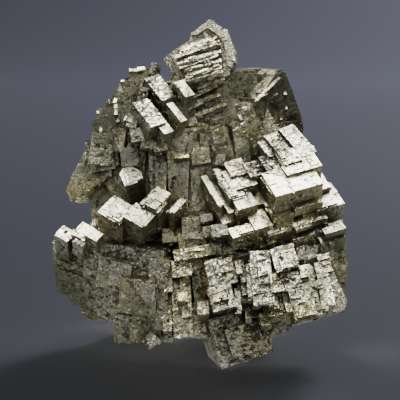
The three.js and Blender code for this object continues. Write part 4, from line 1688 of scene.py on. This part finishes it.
    def stain(self, board: Board, masks: dict[str, Socket], solid: Socket) -> None:
        """Wires where the metal is dull and where it is golden.

        Formula: recesses, tarnish, patches and clouds make it dull, the recesses as tarnish and painted
        shade, and gilt, bright tones and the places between the clouds make it golden.

        Args:
            board: The material's board.
            masks: The surface values. They get dull and gold.
            solid: Socket with the place on the specimen in metres.
        """
        clouds = board.noise(solid, 130.0, 4.0, flat=False).outputs["Fac"]
        patches = board.noise(solid, 55.0, 2.0, flat=False).outputs["Fac"]
        # buried places turn olive: tarnish in the hollows and painted shade
        dull = board.ramp(masks["recess"], 0.2, 0.55, 0.0, 0.9)
        dull = board.math("ADD", dull, board.ramp(patches, 0.48, 0.62, 0.0, 0.55))
        dull = board.math("MULTIPLY_ADD", masks["tarnish"], 0.8, dull)
        cloudy = board.ramp(clouds, 0.5, 0.75, 0.0, 0.5)
        masks["dull"] = board.math("ADD", dull, cloudy, clamp=True)
        gold = board.math("ADD", masks["gilt"], board.ramp(masks["tone"], 0.55, 1.0, 0.0, 0.5))
        clear = board.ramp(clouds, 0.52, 0.3, 0.0, 0.4)
        masks["gold"] = board.math("ADD", gold, clear, clamp=True)

    def colour(self, board: Board, masks: dict[str, Socket]) -> Socket:
        """Wires the colour: the metal's own, then the stains, then painted shade in its pits, cracks,
        ledge steps, shaded stretches and hollows, then painted flecks of shade.

        Args:
            board: The material's board.
            masks: All the masks.

        Returns:
            The colour.
        """
        colour = board.blend(masks["gold"], self.clean, self.golden)
        colour = board.blend(board.math("MULTIPLY", masks["dull"], 0.8), colour, self.olive)
        colour = board.blend(board.math("MULTIPLY", masks["rust"], 0.8), colour, self.rusty)
        # Painted shade: pits, the shade tints, cracks, ledge steps and buried places are darkened.
        depth = board.math("MULTIPLY_ADD", masks["speckle"], 0.35, 0.5)
        dark = board.math("MULTIPLY_ADD", masks["pits"], depth, masks["shade"])
        dark = board.math("MULTIPLY_ADD", masks["cracks"], 0.85, dark)
        dark = board.math("MULTIPLY_ADD", masks["edges"], 0.5, dark)
        dark = board.math("ADD", dark, board.ramp(masks["recess"], 0.5, 0.9, 0.0, 0.3))
        colour = board.blend(board.math("MINIMUM", dark, 1.0), colour, self.painted_shade_black)
        # painted shade: the comb marks are turned very dark as flecks
        return board.blend(masks["combs"], colour, self.painted_fleck_shade)


# Studio


@dataclass
class Studio:
    """Pale floor that sweeps up behind, soft lights and the camera."""

    target: tuple[float, float, float] = (0.00004, 0.00173, 0.0381)
    lens: float = 200.0
    framed: float = 0.1
    part: bpy.types.Collection = field(init=False)
    paper: bpy.types.Collection = field(init=False)

    def build(self) -> None:
        """Makes the floor, the lights and the camera."""
        self.part = bpy.data.collections.new("lit_specimen")
        self.paper = bpy.data.collections.new("lit_paper")
        self.build_sweep()
        self.build_lights()
        self.build_camera()

    def build_sweep(self) -> None:
        """Makes the floor as a sheet that curves up behind.

        Formula: the profile runs flat, turns up through a quarter circle and rises straight, and
        is carried across on a grid of two parameters.
        """
        turn = np.linspace(0, math.pi / 2, 25)
        radius, start = 0.35, 0.55
        depth = np.concatenate([[-1.2, 0.0], start + radius * np.sin(turn), [start + radius]])
        height = np.concatenate([[0.0, 0.0], radius * (1 - np.cos(turn)), [1.6]])
        across = np.linspace(-1.5, 1.5, 13)
        x, y = np.meshgrid(across, depth)
        z = np.repeat(height[:, None], len(across), axis=1)
        points = np.stack([x, y, z], axis=2).reshape(-1, 3) / MM
        rows, columns = len(depth) - 1, len(across) - 1
        r, c = np.meshgrid(np.arange(rows), np.arange(columns), indexing="ij")
        corner = (r * len(across) + c).ravel()
        right, behind = corner + 1, corner + len(across)
        first = np.stack([corner, right, behind + 1], axis=1)
        second = np.stack([corner, behind + 1, behind], axis=1)
        sweep = mesh_object("studio_sweep", points, np.concatenate([first, second]))
        sweep.data.polygons.foreach_set("use_smooth", np.ones(len(sweep.data.polygons), bool))
        paper = bpy.data.materials.new("studio_paper")
        board = empty_board(paper)
        noise = board.node("ShaderNodeTexNoise")
        noise.inputs["Scale"].default_value = 4.0
        colour = board.blend(noise.outputs["Fac"], (0.59, 0.61, 0.79, 1.0), (0.61, 0.63, 0.81, 1.0))
        shader = board.node("ShaderNodeBsdfPrincipled")
        shader.inputs["Roughness"].default_value = 0.75
        board.wire(colour, shader.inputs["Base Color"])
        board.end(shader)
        sweep.data.materials.append(paper)
        sweep.visible_glossy = False
        self.paper.objects.link(sweep)

    def lamp(
        self,
        name: str,
        place: tuple[float, float, float],
        size: tuple[float, float],
        radiance: float,
        colour: tuple[float, float, float],
        lit: bpy.types.Collection,
    ) -> None:
        """Makes a soft rectangular lamp that faces the specimen.

        Formula: the power is the radiance times pi times the lamp's area.

        Args:
            name: The lamp's name.
            place: Its place in metres, from the specimen's middle.
            size: Its width and height in metres.
            radiance: How bright its face is.
            colour: Its colour.
            lit: The objects that it lights.
        """
        data = bpy.data.lights.new(name, "AREA")
        data.shape = "RECTANGLE"
        data.size, data.size_y = size
        data.energy = radiance * math.pi * size[0] * size[1]
        data.color = colour
        made = bpy.data.objects.new(name, data)
        bpy.context.scene.collection.objects.link(made)
        made.location = Vector(self.target) + Vector(place)
        made.rotation_euler = (-Vector(place)).to_track_quat("-Z", "Y").to_euler()
        made.light_linking.receiver_collection = lit

    def build_lights(self) -> None:
        """Makes a large soft light overhead, weaker ones before and beside, and a dim sky."""
        cream, white, cool = (1.0, 0.985, 0.94), (1.0, 0.99, 0.96), (1.0, 0.98, 1.0)
        self.lamp("softbox_above", (0.05, 0.09, 0.46), (0.50, 0.46), 14.0, cream, self.part)
        self.lamp("panel_high_front", (-0.12, -0.36, 0.34), (0.50, 0.16), 0.9, white, self.part)
        self.lamp("panel_right_front", (0.14, -0.40, 0.28), (0.28, 0.16), 0.75, white, self.part)
        self.lamp("panel_low_right", (0.222, -0.436, 0.10), (0.20, 0.16), 1.4, white, self.part)
        self.lamp("sweep_light_behind", (0.40, 0.84, 0.42), (0.20, 0.20), 8.2, cool, self.paper)
        self.lamp("sweep_light_right", (0.28, 0.26, 0.14), (0.16, 0.16), 0.6, cool, self.paper)
        self.build_air()

    def build_air(self) -> None:
        """Makes the dim room that the faces mirror: lighter above and below, darker at the right.

        Formula: the brightness rises with how steeply the direction goes up or down, and falls
        towards the right.
        """
        world = bpy.data.worlds.new("studio_air")
        board = empty_board(world)
        direction = board.node("ShaderNodeTexCoord").outputs["Generated"]
        level = board.math("ABSOLUTE", board.split(direction, "Z"))
        height = board.ramp(level, 0.0, 0.85, 0.28, 0.42)
        side = board.ramp(board.split(direction, "X"), 0.3, 0.95, 1.0, 0.3)
        background = board.node("ShaderNodeBackground")
        background.inputs["Color"].default_value = (0.96, 1.0, 1.0, 1.0)
        board.wire(board.math("MULTIPLY", height, side), background.inputs["Strength"])
        board.end(background, "ShaderNodeOutputWorld")
        bpy.context.scene.world = world
        world.cycles_visibility.diffuse = False

    def build_camera(self) -> None:
        """Makes the camera: ten degrees above the horizon, far off, with a long lens."""
        data = bpy.data.cameras.new("camera")
        data.lens = self.lens
        data.sensor_width = 36.0
        camera = bpy.data.objects.new("camera", data)
        bpy.context.scene.collection.objects.link(camera)
        distance = self.framed * self.lens / data.sensor_width
        camera.location = Vector(self.target) - Vector(AWAY.tolist()) * distance
        camera.rotation_euler = Vector(AWAY.tolist()).to_track_quat("-Z", "Y").to_euler()
        bpy.context.scene.camera = camera


def main() -> None:
    """Builds the studio and the specimen, and reports each piece."""
    logging.basicConfig(level=logging.INFO, format="%(message)s")
    studio = Studio()
    studio.build()
    log.info("studio: sweep, lights and camera")
    low, high = np.array(cad_low) / MM, np.array(cad_high) / MM
    cluster = CrystalsBetween(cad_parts[HOST].data, low, high).build()
    host = HostFaces(cluster.data)
    bpy.data.objects.remove(cluster)
    log.info("cluster: %d triangles, %d flat faces", len(host.triangles), host.face_of.max() + 1)
    body = CrystalCrust(host, low, high).build()
    body.data.materials.clear()
    body.data.materials.append(MarcasiteFinish().material())
    body.data.polygons.foreach_set("material_index", np.zeros(len(body.data.polygons), np.int32))
    body.data.polygons.foreach_set("use_smooth", np.zeros(len(body.data.polygons), bool))
    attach(body, "root")
    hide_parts(HOST)
    studio.part.objects.link(body)
    log.info("%s: %d triangles", body.name, len(body.data.polygons))


if __name__ == "__main__":
    main()
